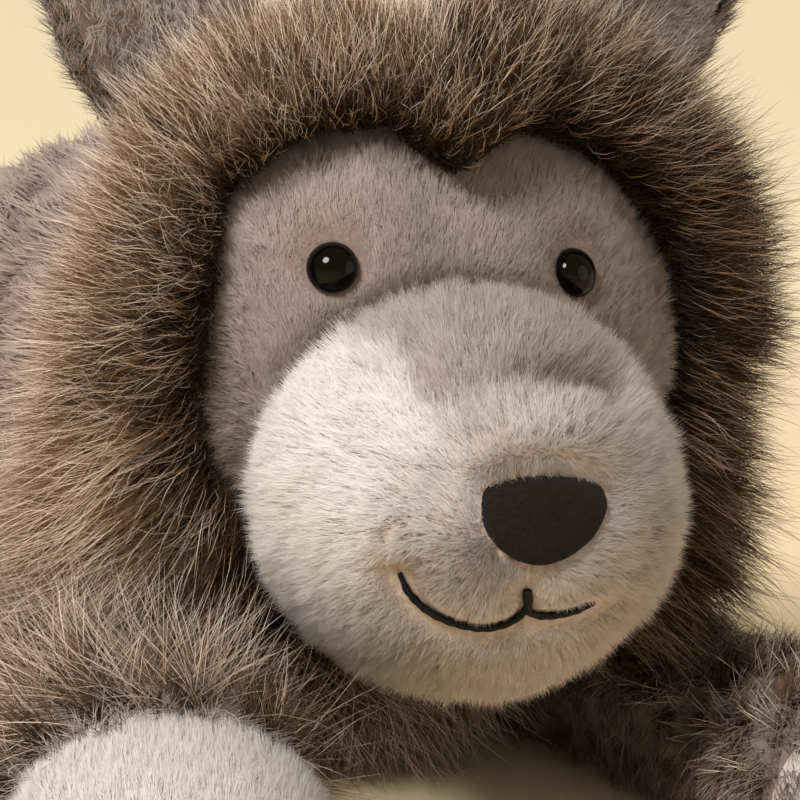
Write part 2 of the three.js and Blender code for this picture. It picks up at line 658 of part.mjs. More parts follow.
function buildHindLeg(side, word) {
  const floor = below(-HIP_RISE);
  const forms = [
    hindLegForm(0, LIMB_SEGMENTS, side).subtract(floor),
    hindLegForm(PLUSH_WALL, CORE_SEGMENTS, side),
    hindLegForm(PLUSH_WALL + SEAM_GAP, CORE_SEGMENTS, side),
  ];
  const seam = -(HIND_FOOT_LENGTH - HIND_PAW_LENGTH);
  const leg = sewnLimb(
    [`hind_${word}_leg`, `hind_${word}_paw`, `hind_${word}_stuffing`], forms,
    aheadOf(seam + SEAM_GAP / 2), behind(seam - SEAM_GAP / 2), [TAUPE, CREAM],
  );
  leg.position.copy(hipCentre(side));
  return leg;
}

function buildTail() {
  const floor = below(-TAIL_ROOT_RISE);
  const forms = [
    tailForm(0, LIMB_SEGMENTS).subtract(floor),
    tailForm(PLUSH_WALL, CORE_SEGMENTS),
    tailForm(PLUSH_WALL + SEAM_GAP, CORE_SEGMENTS),
  ];
  const seam = TAIL_LENGTH - TAIL_TIP_LENGTH;
  const tail = sewnLimb(
    ['tail_brush', 'tail_tip', 'tail_stuffing'], forms,
    behind(seam - SEAM_GAP / 2), aheadOf(seam + SEAM_GAP / 2), [TAIL_BROWN, MANE_BROWN],
  );
  tail.position.copy(tailCentre);
  return tail;
}

const wolf = new THREE.Group();
wolf.add(buildTorso(), buildNeck(), buildHead(), buildTail());
for (const [word, side] of Object.entries(SIDES)) {
  wolf.add(buildFrontLeg(side, word), buildHindLeg(side, word));
}

export default wolf;
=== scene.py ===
"""Looks of a plush wolf that lies on its belly: stuffed forms under pile that is made of mesh strands.

Lengths are in millimetres until a mesh is made, and Blender's own scene is in metres.
"""

import math
from collections import namedtuple

import bmesh
import bpy
import numpy as np
from mathutils import Matrix, Vector


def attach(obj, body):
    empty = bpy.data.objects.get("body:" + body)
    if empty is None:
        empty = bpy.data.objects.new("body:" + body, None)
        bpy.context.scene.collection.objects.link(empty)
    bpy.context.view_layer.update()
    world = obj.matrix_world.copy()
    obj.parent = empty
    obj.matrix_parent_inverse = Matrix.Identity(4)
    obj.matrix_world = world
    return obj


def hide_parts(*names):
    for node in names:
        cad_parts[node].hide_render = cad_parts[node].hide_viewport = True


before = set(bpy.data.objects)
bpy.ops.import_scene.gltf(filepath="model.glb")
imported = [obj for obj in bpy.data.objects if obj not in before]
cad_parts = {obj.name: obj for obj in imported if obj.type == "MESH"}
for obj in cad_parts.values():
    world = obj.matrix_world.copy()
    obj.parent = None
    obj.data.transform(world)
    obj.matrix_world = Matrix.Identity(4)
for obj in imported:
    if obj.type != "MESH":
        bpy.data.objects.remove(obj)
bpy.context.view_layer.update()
scene = bpy.context.scene
rng = np.random.default_rng(20)

MM = 0.001
TINY = 1e-9
FAR = 1000.0
FULL_TURN = 2 * math.pi
SIDES = {"left": 1, "right": -1}
UP = np.array((0.0, 0.0, 1.0))
FORWARD = np.array((0.0, -1.0, 0.0))
FLOOR_CLEARANCE = 0.35


def rotation(angle, axis):
    return np.array(Matrix.Rotation(angle, 3, axis))


# The head's frame in the model, the same as the solids'.

HEAD_CENTRE = np.array((0.0, -143.0, 111.0))
HEAD_PITCH = math.radians(13)
HEAD_AXES = rotation(HEAD_PITCH, "X")
HEAD_RADII = np.array((69.5, 60.5, 62.5))
MUZZLE_CENTRE = np.array((1.2, -68.0, -10.0))
MUZZLE_RADII = np.array((46.5, 45.0, 42.0))
EYE_SPACING = 60
EYE_RISE = 35

# The nose's outline on the muzzle's front, across and up from the muzzle's centre.
NOSE_MIDDLE = np.array((1.1, 17.3))
NOSE_HALF_WIDTH = 15.2
NOSE_TOP = 7.0
NOSE_FOOT = 11.6
NOSE_SKEW = 0.22

# Knots of the mouth's three lines on the muzzle's front, across and up from the muzzle's centre.
PHILTRUM = ((-1.9, -0.8), (-1.2, -3.8), (-0.9, -6.1))
RIGHT_LIP = (
    (-0.9, -6.1), (-4.1, -9.4), (-9.2, -11.3), (-15.7, -10.7), (-21.3, -8.4), (-25.9, -4.4), (-28.3, -0.4))
LEFT_LIP = ((-0.9, -6.1), (2.5, -7.6), (7.5, -7.8), (16.5, -6.3))

# Hairline between face and mane: degrees from the top of the head, and radius, down either side.
HAIRLINE = {
    "left": ((0, 54), (14, 61), (30, 67.5), (48, 70.5), (70, 71), (93, 68), (113, 58), (135, 47), (180, 42)),
    "right": ((0, 54), (14, 62), (28, 68), (45, 67), (62, 60), (78, 55), (93, 51), (113, 45), (180, 42)),
}

EAR_ROOT = np.array((44.5, 26.0, 43.2))
EAR_TILT = math.radians(27)
EAR_LENGTH = 92
EAR_HALF_WIDTH = 23

NECK = np.array((0.0, -86.0, 91.0))
HEAD_TURNS = (-15, -7.5, 0, 7.5, 15)
HEAD_ROOM = 4
SHOULDER = np.array((70.0, -93.0, 0.0))
FRONT_SPLAY = {"left": math.radians(10), "right": math.radians(3)}
FRONT_PAW_SEAM = 153
HIP = np.array((76.0, 69.0, 45.5))
HIND_PAW_SEAM = 56
TAIL_ROOT = np.array((0.0, 131.0, 56.0))
TAIL_TIP_SEAM = 108


# Small sums. Smooth noise adds up a few sine waves that run in random directions.

WAVES = 6
WAVE_TURNS = 3.6
RIPPLE_GAIN = 1.7


def unit(vectors):
    return vectors / np.maximum(np.linalg.norm(vectors, axis=-1, keepdims=True), TINY)


def smooth(low, high, value):
    share = np.clip((value - low) / (high - low), 0, 1)
    return share * share * (3 - 2 * share)


def ripple(points, wavelength, seed):
    """Smooth noise of about -1 to 1 over points, with about this wavelength."""
    source = np.random.default_rng(seed)
    turns = source.normal(size=(3, WAVES)) * (WAVE_TURNS / wavelength)
    phase = source.uniform(0, FULL_TURN, WAVES)
    return np.sin(points @ turns + phase).mean(axis=1) * RIPPLE_GAIN


def drift(points, wavelength, seed):
    """Smooth noise in three directions."""
    return np.stack([ripple(points, wavelength, seed + step) for step in range(3)], axis=1)


def at(rule, places):
    """A number or vector that is the same everywhere, or a function's values at places."""
    if callable(rule):
        return rule(places)
    return np.broadcast_to(np.array(rule, dtype=float), (len(places), *np.shape(rule)))


def by_side(across, values):
    """The value for the wolf's left or right, by the sign of a place or an angle across."""
    return np.where(across > 0, values["left"], values["right"])


def weighed(weights, **masks):
    """The sum of masks, each times the weight of its name."""
    return sum(weights[name] * mask for name, mask in masks.items())


def from_head(points):
    return points @ HEAD_AXES.T + HEAD_CENTRE


def to_head(points):
    return (points - HEAD_CENTRE) @ HEAD_AXES


def turned_from_head(vectors):
    return vectors @ HEAD_AXES.T


# Colours and materials.

PILE_STOPS = (0.0, 0.45, 1.0)
MOTTLE_STOPS = (0.3, 0.7)
BUMP_HEIGHT = 0.6


def linear(red, green, blue):
    """A colour given as it looks on a screen, 0 to 255, as linear light."""
    def one(value):
        value = value / 255
        return value / 12.92 if value <= 0.04045 else ((value + 0.055) / 1.055) ** 2.4
    return (one(red), one(green), one(blue), 1)


def feed(node, inputs):
    """Gives a node its inputs: another node's socket is linked, and all else is the input's own value."""
    for name, value in inputs.items():
        if isinstance(value, bpy.types.NodeSocket):
            node.id_data.links.new(value, node.inputs[name])
        else:
            node.inputs[name].default_value = value


def add_node(tree, kind, inputs=None, **settings):
    node = tree.nodes.new(kind)
    for name, value in settings.items():
        setattr(node, name, value)
    feed(node, inputs or {})
    return node


def add_ramp(tree, factor, stops, colours):
    ramp = add_node(tree, "ShaderNodeValToRGB", {0: factor})
    elements = ramp.color_ramp.elements
    while len(elements) < len(stops):
        elements.new(0.5)
    for element, place, colour in zip(elements, stops, colours):
        element.position = place
        element.color = linear(*colour)
    return ramp.outputs[0]


def new_material(name):
    material = bpy.data.materials.new(name)
    material.use_nodes = True
    return material, material.node_tree, material.node_tree.nodes["Principled BSDF"]


def pile_material(name, dark, light, sheen=0.12):
    """Pile coloured root, middle, tip along V, between a dark strand and a light one along U."""
    material, tree, shader = new_material(name)
    place = add_node(tree, "ShaderNodeUVMap", uv_map="OFBake")
    split = add_node(tree, "ShaderNodeSeparateXYZ", {0: place.outputs["UV"]})
    low, high = (add_ramp(tree, split.outputs["Y"], PILE_STOPS, colours) for colours in (dark, light))
    mix = add_node(tree, "ShaderNodeMix", {0: split.outputs["X"], 6: low, 7: high}, data_type="RGBA")
    feed(shader, {
        "Base Color": mix.outputs[2], "Roughness": 0.8, "Specular IOR Level": 0.15, "Sheen Weight": sheen,
        "Sheen Roughness": 0.5})
    return material


def mottled_material(name, low, high, scale, bump, roughness, sheen=0.0, specular=0.3):
    """Cloth, felt or plastic: two tones of noise, and a fine bump at a scale in features per metre."""
    material, tree, shader = new_material(name)
    place = add_node(tree, "ShaderNodeTexCoord")
    noise = add_node(
        tree, "ShaderNodeTexNoise", {"Scale": scale, "Detail": 4, "Vector": place.outputs["Object"]})
    relief = add_node(
        tree, "ShaderNodeBump", {"Strength": bump, "Distance": BUMP_HEIGHT * MM, "Height": noise.outputs[0]})
    feed(shader, {
        "Base Color": add_ramp(tree, noise.outputs[0], MOTTLE_STOPS, (low, high)),
        "Normal": relief.outputs[0], "Roughness": roughness, "Specular IOR Level": specular,
        "Sheen Weight": sheen})
    return material


FACE_PILE = pile_material(
    "face_pile",
    dark=((62, 50, 43), (84, 70, 62), (104, 88, 79)),
    light=((146, 128, 118), (170, 151, 141), (198, 180, 170)))
MUZZLE_PILE = pile_material(
    "muzzle_pile",
    dark=((98, 81, 71), (146, 127, 116), (172, 153, 141)),
    light=((204, 190, 180), (234, 223, 215), (245, 237, 231)))
MANE_PILE = pile_material(
    "mane_pile",
    dark=((12, 8, 5), (30, 19, 9), (66, 44, 22)),
    light=((24, 16, 9), (96, 67, 33), (172, 138, 104)), sheen=0.03)
GUARD_PILE = pile_material(
    "guard_pile",
    dark=((36, 25, 15), (104, 80, 58), (158, 132, 110)),
    light=((104, 81, 61), (206, 181, 160), (246, 230, 215)), sheen=0.03)
BODY_PILE = pile_material(
    "body_pile",
    dark=((72, 56, 46), (118, 98, 86), (146, 126, 114)),
    light=((108, 90, 78), (168, 148, 136), (204, 186, 174)))
PAW_PILE = pile_material(
    "paw_pile",
    dark=((198, 184, 174), (213, 200, 191), (220, 208, 200)),
    light=((214, 201, 192), (228, 217, 209), (238, 229, 222)))
TAIL_PILE = pile_material(
    "tail_pile",
    dark=((30, 20, 13), (84, 62, 44), (128, 104, 88)),
    light=((60, 44, 32), (136, 112, 92), (200, 178, 162)))
LINING_PILE = pile_material(
    "lining_pile",
    dark=((74, 60, 51), (108, 92, 82), (138, 121, 111)),
    light=((176, 158, 148), (222, 207, 197), (240, 228, 220)))
NOSE_FUZZ = pile_material(
    "nose_fuzz",
    dark=((12, 10, 9), (22, 19, 17), (30, 26, 24)),
    light=((20, 17, 15), (34, 30, 27), (48, 43, 39)), sheen=0.02)

BACKING = {"scale": 900, "bump": 0.5, "roughness": 0.9, "sheen": 0.1}
TAUPE_BACKING = mottled_material("taupe_backing", (122, 105, 95), (142, 124, 114), **BACKING)
MUZZLE_BACKING = mottled_material("muzzle_backing", (172, 154, 142), (192, 175, 163), **BACKING)
CREAM_BACKING = mottled_material("cream_backing", (196, 180, 168), (214, 199, 188), **BACKING)
LINING_BACKING = mottled_material("lining_backing", (134, 117, 107), (152, 134, 124), **BACKING)
MANE_BACKING = mottled_material(
    "mane_backing", (20, 13, 8), (32, 21, 13), scale=900, bump=0.5, roughness=0.95)
FELT = mottled_material(
    "nose_felt", (20, 17, 15), (33, 28, 26), scale=1600, bump=0.7, roughness=0.9, sheen=0.04, specular=0.1)
THREAD = mottled_material(
    "black_thread", (8, 7, 7), (16, 14, 13), scale=3000, bump=0.4, roughness=0.6, specular=0.2)
WASHER = mottled_material(
    "washer_plastic", (196, 194, 188), (208, 206, 200), scale=400, bump=0.1, roughness=0.4)
FIBREFILL = mottled_material(
    "fibrefill", (222, 220, 214), (240, 238, 233), scale=500, bump=0.9, roughness=0.95)
PELLET_CLOTH = mottled_material(
    "pellet_cloth", (190, 184, 172), (206, 200, 188), scale=1500, bump=0.6, roughness=0.9)
EYE_GLOSS = mottled_material(
    "eye_plastic", (4, 3, 3), (7, 6, 5), scale=60, bump=0.0, roughness=0.05, specular=0.15)


# Meshes. A form is a closed surface: points, triangles, smooth normals and areas.


def add_object(name, data):
    made = bpy.data.objects.new(name, data)
    scene.collection.objects.link(made)
    return made


def mesh_object(name, points, faces, material):
    mesh = bpy.data.meshes.new(name)
    mesh.from_pydata((points * MM).tolist(), [], faces)
    mesh.shade_smooth()
    mesh.materials.append(material)
    return add_object(name, mesh)


def ring_faces(rings, steps, start=0):
    """Faces between closed rings of points that are numbered one after another from a start."""
    faces = []
    for ring in range(rings - 1):
        low, high = start + ring * steps, start + (ring + 1) * steps
        for step in range(steps):
            after = (step + 1) % steps
            faces.append((low + step, low + after, high + after, high + step))
    return faces


def dress(piece, body, nodes):
    """Puts a piece on a body in place of CAD nodes."""
    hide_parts(*nodes)
    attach(piece, body)


def form_of(piece):
    mesh = piece.data
    mesh.calc_loop_triangles()
    points = np.empty(len(mesh.vertices) * 3)
    mesh.vertices.foreach_get("co", points)
    points = points.reshape(-1, 3) / MM
    triangles = np.empty(len(mesh.loop_triangles) * 3, dtype=np.int64)
    mesh.loop_triangles.foreach_get("vertices", triangles)
    triangles = triangles.reshape(-1, 3)
    first, second, third = (points[triangles[:, corner]] for corner in range(3))
    across = np.cross(second - first, third - first)
    normals = np.zeros_like(points)
    for corner in range(3):
        np.add.at(normals, triangles[:, corner], across)
    return points, triangles, unit(normals), np.linalg.norm(across, axis=1) / 2


def set_points(piece, points):
    piece.data.vertices.foreach_set("co", (points * MM).ravel())
    piece.data.update()


def apply_modifiers(piece):
    graph = bpy.context.evaluated_depsgraph_get()
    mesh = bpy.data.meshes.new_from_object(piece.evaluated_get(graph))
    piece.modifiers.clear()
    old = piece.data
    piece.data = mesh
    bpy.data.meshes.remove(old)
    piece.data.name = piece.name


def round_form(name, radii, material, shape):
    """A ball of these radii in the head's frame, with its points moved by a shape function."""
    work = bmesh.new()
    bmesh.ops.create_icosphere(work, subdivisions=6, radius=1)
    points = np.array([vertex.co for vertex in work.verts])
    work.verts.ensure_lookup_table()
    faces = [[vertex.index for vertex in face.verts] for face in work.faces]
    work.free()
    return mesh_object(name, from_head(shape(points * radii)), faces, material)


# Stuffed forms: each starts from its filling's solid, a little smaller, and swells under pressure.

VOXEL_SIZE = 5
RELAX_STEPS = 4
CLOTH_SETTINGS = {"quality": 5, "mass": 0.3, "use_pressure": True, "uniform_pressure_force": 4}
LAST_FRAME = 20
SWELL_CAP = 5.0
SKIN_DEPTH = 3.3


def swell(piece):
    """A form's points as the filling pushes them out, with the skin's depth as their mean rise."""
    points, _, normals, _ = form_of(piece)
    cloth = piece.modifiers.new("filling", "CLOTH")
    for name, value in CLOTH_SETTINGS.items():
        setattr(cloth.settings, name, value)
    cloth.settings.effector_weights.gravity = 0
    cloth.point_cache.frame_end = LAST_FRAME
    for number in range(1, LAST_FRAME + 1):
        scene.frame_set(number)
    graph = bpy.context.evaluated_depsgraph_get()
    result = piece.evaluated_get(graph).to_mesh()
    swollen = np.empty(len(points) * 3)
    result.vertices.foreach_get("co", swollen)
    piece.evaluated_get(graph).to_mesh_clear()
    piece.modifiers.remove(cloth)
    scene.frame_set(1)
    move = swollen.reshape(-1, 3) / MM - points
    move -= move.mean(axis=0)
    size = np.linalg.norm(move, axis=1, keepdims=True)
    move *= np.minimum(1, SWELL_CAP / np.maximum(size, TINY))
    lift = (move * normals).sum(axis=1).mean()
    return points + move + normals * (SKIN_DEPTH - lift)


def stuffed_form(name, node, material):
    piece = add_object(name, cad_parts[node].data.copy())
    remesh = piece.modifiers.new("voxels", "REMESH")
    remesh.mode = "VOXEL"
    remesh.voxel_size = VOXEL_SIZE * MM
    piece.modifiers.new("relax", "SMOOTH").iterations = RELAX_STEPS
    apply_modifiers(piece)
    set_points(piece, swell(piece))
    piece.modifiers.new("finer", "SUBSURF").levels = 1
    apply_modifiers(piece)
    points, _, _, _ = form_of(piece)
    points[:, 2] = np.maximum(points[:, 2], FLOOR_CLEARANCE)
    set_points(piece, points)
    piece.data.materials.clear()
    piece.data.materials.append(material)
    piece.data.shade_smooth()
    return piece


# Pile: strands gathered in tufts, each strand a slim closed spike of three sides.

PIECE_TRIANGLES = 190000
ROOT_DEPTH = 0.5
LENGTH_RANGE = (0.72, 1.12)
WIDTH_RANGE = (0.75, 1.2)
TAPER = 0.6
OWN_NOISE = 0.6
START_LEAN = 0.6
START_STRAY = 0.5
TIP_STAND = 0.7
CORNER_TONE = 0.015
TONE_MARGIN = 0.02

# Directions that no pile follows, to set strands off from.
OBLIQUE = (0.31, 0.52, 0.79)
ASKEW = (0.37, 0.21, 0.11)

# What a coat of pile is like: the count of strands, how many share a tuft, the tuft's spread, a strand's half
# width, how upright it is, how far tips draw together, how far they stray, how far tones differ, the segments
# along a strand, and how far its shading follows the skin under it.
Coat = namedtuple("Coat", "count tuft spread width stand clump jitter mottle segments softness")
Strands = namedtuple("Strands", "roots normals start finish length width shade")


def scatter(form, count, keep):
    points, triangles, normals, areas = form
    weight = areas * at(keep, points[triangles].mean(axis=1))
    pick = triangles[rng.choice(len(triangles), count, p=weight / weight.sum())]
    first = np.sqrt(rng.random(count))
    second = rng.random(count)
    shares = np.stack((1 - first, first * (1 - second), first * second), axis=1)[:, :, None]
    return (points[pick] * shares).sum(axis=1), unit((normals[pick] * shares).sum(axis=1))


def gather(middles, normals, each, spread):
    """Roots round the tufts' middles: places, normals, offsets from the middle, and tuft numbers."""
    tuft = np.repeat(np.arange(len(middles)), each)
    across = unit(np.cross(normals, OBLIQUE))
    along = np.cross(normals, across)
    turn = rng.uniform(0, FULL_TURN, len(tuft))
    reach = spread * np.sqrt(rng.random(len(tuft)))
    offset = across[tuft] * (reach * np.cos(turn))[:, None] + along[tuft] * (reach * np.sin(turn))[:, None]
    return middles[tuft] + offset, normals[tuft], offset, tuft


def tuft_noise(tuft, width):
    """Random values that strands of a tuft mostly share."""
    shared = rng.normal(size=(tuft[-1] + 1, width))
    return shared[tuft] + OWN_NOISE * rng.normal(size=(len(tuft), width))


def strand_faces(segments):
    faces = [(0, 2, 1)]
    for ring in range(segments):
        for side in range(3):
            here, beside = 3 * ring + side, 3 * ring + (side + 1) % 3
            if ring == segments - 1:
                faces.append((here, beside, 3 * segments))
            else:
                faces.append((here, beside, beside + 3))
                faces.append((here, beside + 3, here + 3))
    return np.array(faces)


def strand_piece(name, material, strands, segments, softness):
    roots, normals, start, finish, length, width, shade = strands
    count = len(roots)
    each = 3 * segments + 1
    side = unit(np.cross(start, unit(normals + ASKEW)))
    other = np.cross(start, side)
    spin = rng.uniform(0, FULL_TURN, count)
    points = np.empty((count, each, 3))
    facing = np.empty((count, each, 3))
    place = np.empty((count, each, 2))
    for ring in range(segments):
        share = ring / segments
        middle = roots + length[:, None] * (start * (share - share ** 2 / 2) + finish * (share ** 2 / 2))
        for corner in range(3):
            turn = spin + FULL_TURN * corner / 3
            out = side * np.cos(turn)[:, None] + other * np.sin(turn)[:, None]
            index = 3 * ring + corner
            points[:, index] = middle + out * (width * (1 - TAPER * share ** 2))[:, None]
            facing[:, index] = unit(out * (1 - softness) + normals * softness)
            place[:, index, 0] = shade + (corner - 1) * CORNER_TONE
            place[:, index, 1] = share
    points[:, -1] = roots + length[:, None] * (start + finish) / 2
    facing[:, -1] = unit(finish * (1 - softness) + normals * softness)
    place[:, -1, 0] = shade
    place[:, -1, 1] = 1
    points[:, :, 2] = np.maximum(points[:, :, 2], FLOOR_CLEARANCE)
    place = np.clip(place, TONE_MARGIN, 1 - TONE_MARGIN)
    faces = (strand_faces(segments)[None] + (np.arange(count) * each)[:, None, None]).reshape(-1, 3)
    mesh = bpy.data.meshes.new(name)
    mesh.vertices.add(count * each)
    mesh.vertices.foreach_set("co", (points * MM).ravel())
    mesh.loops.add(faces.size)
    mesh.loops.foreach_set("vertex_index", faces.ravel().astype(np.int32))
    mesh.polygons.add(len(faces))
    mesh.polygons.foreach_set("loop_start", np.arange(0, faces.size, 3, dtype=np.int32))
    mesh.update(calc_edges=True)
    mesh.shade_smooth()
    layer = mesh.uv_layers.new(name="OFBake")
    layer.data.foreach_set("uv", place.reshape(-1, 2)[faces.ravel()].ravel())
    mesh.normals_split_custom_set_from_vertices(facing.reshape(-1, 3))
    mesh.materials.append(material)
    return add_object(name, mesh)


def grow(name, body, material, strands, coat):
    """Strands as one or more pieces on a body, split from the wolf's right to its left."""
    limit = PIECE_TRIANGLES // len(strand_faces(coat.segments))
    parts = math.ceil(len(strands.roots) / limit)
    for number, pick in enumerate(np.array_split(np.argsort(strands.roots[:, 0]), parts)):
        label = name if parts == 1 else f"{name}_{number + 1}"
        part = Strands(*(values[pick] for values in strands))
        piece = strand_piece(label, material, part, coat.segments, coat.softness)
        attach(piece, body)


def lay_pile(name, body, material, form, coat, keep, flow, length, shade):
    """Pile on a form. keep, flow, length and shade are values or functions of places on it."""
    middles, normals = scatter(form, coat.count // coat.tuft, keep)
    roots, normals, offset, tuft = gather(middles, normals, coat.tuft, coat.spread)
    stray = tuft_noise(tuft, 3) * coat.jitter
    way = at(flow, roots)
    way = unit(way - normals * (way * normals).sum(axis=1, keepdims=True))
    reach = at(length, roots) * rng.uniform(*LENGTH_RANGE, len(roots))
    lean = way * (1 - coat.stand)
    drawn = offset * (coat.clump / np.maximum(reach, 1))[:, None]
    start = normals * coat.stand + lean * START_LEAN + stray * START_STRAY
    finish = normals * coat.stand * TIP_STAND + lean + stray - drawn
    tone = at(shade, roots) + tuft_noise(tuft, 1)[:, 0] * coat.mottle
    width = coat.width * rng.uniform(*WIDTH_RANGE, len(roots))
    strands = Strands(roots - normals * ROOT_DEPTH, normals, unit(start), unit(finish), reach, width, tone)
    grow(name, body, material, strands, coat)


SHORT_COAT = Coat(
    count=10000, tuft=9, spread=1.2, width=0.12, stand=0.3, clump=0.4, jitter=0.13, mottle=0.045, segments=1,
    softness=0.93)
FACE_COAT = SHORT_COAT._replace(count=130000, jitter=0.16, mottle=0.08)
EDGE_COAT = FACE_COAT._replace(count=18000, stand=0.62, jitter=0.24)
MUZZLE_COAT = SHORT_COAT._replace(count=150000, stand=0.5, clump=0.7, jitter=0.17, mottle=0.06)
NOSE_COAT = SHORT_COAT._replace(count=6000, spread=0.7, width=0.08, stand=0.6)
PAW_COAT = SHORT_COAT._replace(stand=0.36, jitter=0.16)
EAR_COAT = SHORT_COAT._replace(count=12000, spread=1.7, width=0.17, stand=0.4, jitter=0.18, softness=0.75)
LINING_COAT = EAR_COAT._replace(count=10000, mottle=0.03)
BODY_COAT = SHORT_COAT._replace(
    spread=2.6, width=0.2, stand=0.36, clump=0.9, jitter=0.19, mottle=0.09, segments=2, softness=0.65)
TORSO_COAT = BODY_COAT._replace(count=30000, spread=3.4, width=0.28)
TAIL_COAT = BODY_COAT._replace(count=14000, spread=3.2, width=0.24, softness=0.4)
LEG_COAT = BODY_COAT._replace(spread=2.4, width=0.15)
UNDERFUR_COAT = BODY_COAT._replace(
    count=64000, tuft=32, spread=2.8, width=0.15, stand=0.5, clump=1.7, jitter=0.42, mottle=0.16,
    softness=0.35)
GUARD_COAT = BODY_COAT._replace(
    count=14000, tuft=4, spread=2.4, width=0.105, stand=0.5, clump=0.6, jitter=0.62, mottle=0.28, segments=4,
    softness=0.35)


# Swellings of a form: how far each rises, its middle, its reach, and how much tighter it is along each axis.

Swelling = namedtuple("Swelling", "rise middle reach squeeze", defaults=[(1, 1, 1)])


def raised(points, swellings):
    lift = np.zeros(len(points))
    for rise, middle, reach, squeeze in swellings:
        away = (points - middle) * squeeze
        lift += rise * np.exp(-(away ** 2).sum(axis=1) / reach ** 2)
    return lift


def both_sides(swelling):
    return [swelling._replace(middle=np.array(swelling.middle) * (side, 1, 1)) for side in SIDES.values()]


def front_of(radii, centre, across, rise):
    left = np.maximum(0, 1 - (across / radii[0]) ** 2 - (rise / radii[2]) ** 2)
    return np.stack((across, -radii[1] * np.sqrt(left), rise), axis=-1) + centre


def outward(radii, points):
    return unit(points / radii ** 2)


# Head: brow lobes over the eyes with a furrow between, cheeks, and sockets for the eyes.


def eye_place(side):
    middle = front_of(HEAD_RADII, 0, np.array(side * EYE_SPACING / 2), np.array(float(EYE_RISE)))
    return middle, outward(HEAD_RADII, middle)


HEAD_SWELLINGS = [
    *both_sides(Swelling(3.4, (33, -30, 48), 23)),
    *both_sides(Swelling(3.0, (52, -34, -14), 24)),
    *both_sides(Swelling(3.0, (64, -14, 18), 26)),
    *both_sides(Swelling(-2.6, eye_place(1)[0], 10)),
    Swelling(-3.4, (0, -36, 50), 26, (2.2, 1, 1)),
    Swelling(-2.4, (0, -55, 24), 9, (0.45, 1, 1)),
]


def head_shape(points):
    return points + outward(HEAD_RADII, points) * raised(points, HEAD_SWELLINGS)[:, None]


head = round_form("head_form", HEAD_RADII, TAUPE_BACKING, head_shape)
dress(head, "head", ["head_skin", "head_stuffing"])


# Muzzle, with the lip line drawn in and the cheeks, chin and nose bridge filled out.

CURVE_STEPS = 12
NOSE_TOP_POWER = 2.4
NOSE_FOOT_POWER = 1.8
NOSE_RIDGE = Swelling(4.2, (4, -31, 30), 8, (0.45, 1, 1))
BRIDGE_FOLD = Swelling(-4.6, (16, -19, 35), 6, (0.3, 0.9, 1))
MUZZLE_SWELLINGS = [
    *both_sides(Swelling(2.4, (25, -33, 4), 17)),
    Swelling(1.6, (0, -33, -26), 17),
    NOSE_RIDGE,
    BRIDGE_FOLD,
    Swelling(2.6, (0, 8, 42), 18, (0.5, 1, 1)),
]
GROOVE_DEPTH = 2.2
GROOVE_WIDTH = 3.4
NOSE_SEAT_DEPTH = 1.0
NOSE_SEAT_WIDTH = 3


def curve_through(knots):
    """A smooth line through knots."""
    knots = np.array(knots, dtype=float)
    padded = np.vstack((2 * knots[0] - knots[1], knots, 2 * knots[-1] - knots[-2]))
    line = []
    for index in range(len(knots) - 1):
        before, here, there, after = padded[index:index + 4]
        for share in np.arange(CURVE_STEPS) / CURVE_STEPS:
            line.append(0.5 * (
                2 * here + (there - before) * share + (2 * before - 5 * here + 4 * there - after) * share ** 2
                + (3 * here - before - 3 * there + after) * share ** 3))
    line.append(knots[-1])
    return np.array(line)


MOUTH_LINES = [curve_through(knots) for knots in (PHILTRUM, RIGHT_LIP, LEFT_LIP)]
MOUTH_TRACE = np.vstack(MOUTH_LINES)


def mouth_distance(local):
    """How far points of the muzzle's front are from the lip line, seen from the front."""
    flat = local[:, (0, 2)]
    nearest = np.full(len(flat), FAR)
    for knot in MOUTH_TRACE:
        nearest = np.minimum(nearest, np.hypot(*(flat - knot).T))
    return np.where(local[:, 1] < 0, nearest, FAR)


def nose_outline(turn):
    """The nose's rounded triangle as a radius at an angle from the wolf's left, upwards."""
    across, rise = np.abs(np.cos(turn)), np.sin(turn)
    half_height = np.where(rise > 0, NOSE_TOP, NOSE_FOOT)
    power = np.where(rise > 0, NOSE_TOP_POWER, NOSE_FOOT_POWER)
    return ((across / NOSE_HALF_WIDTH) ** power + (np.abs(rise) / half_height) ** power) ** (-1 / power)


def nose_shift(rise):
    """How far the nose leans to the wolf's left at a height on the muzzle's front."""
    return NOSE_SKEW * np.minimum(0, rise - NOSE_MIDDLE[1])


def nose_distance(local):
    """How far points of the muzzle's front are outside the nose's edge, seen from the front."""
    across = local[:, 0] - NOSE_MIDDLE[0] - nose_shift(local[:, 2])
    rise = local[:, 2] - NOSE_MIDDLE[1]
    outside = np.hypot(across, rise) - nose_outline(np.arctan2(rise, across))
    return np.where(local[:, 1] < 0, outside, FAR)


def muzzle_shape(points):
    lift = raised(points, MUZZLE_SWELLINGS)
    lift -= GROOVE_DEPTH * np.exp(-(mouth_distance(points) / GROOVE_WIDTH) ** 2)
    lift -= NOSE_SEAT_DEPTH * np.exp(-(np.maximum(nose_distance(points), 0) / NOSE_SEAT_WIDTH) ** 2)
    return points + outward(MUZZLE_RADII, points) * lift[:, None] + MUZZLE_CENTRE


muzzle = round_form("muzzle_form", MUZZLE_RADII, MUZZLE_BACKING, muzzle_shape)
dress(muzzle, "head", ["muzzle_skin", "muzzle_stuffing"])


# Eyes: glossy domes on stems.

EYE_RADIUS = 6
EYE_DOME = 4.5
EYE_LIFT = 0.3
EYE_BACK = -0.6
EYE_EDGE = 0.5
EYE_STEM = 10
STEM_RADIUS = 2
STEM_END_RADIUS = 1.6
STEM_CHAMFER = 0.5
EYE_STEPS = 48
DOME_TURNS = np.linspace(0, 1.45, 11)


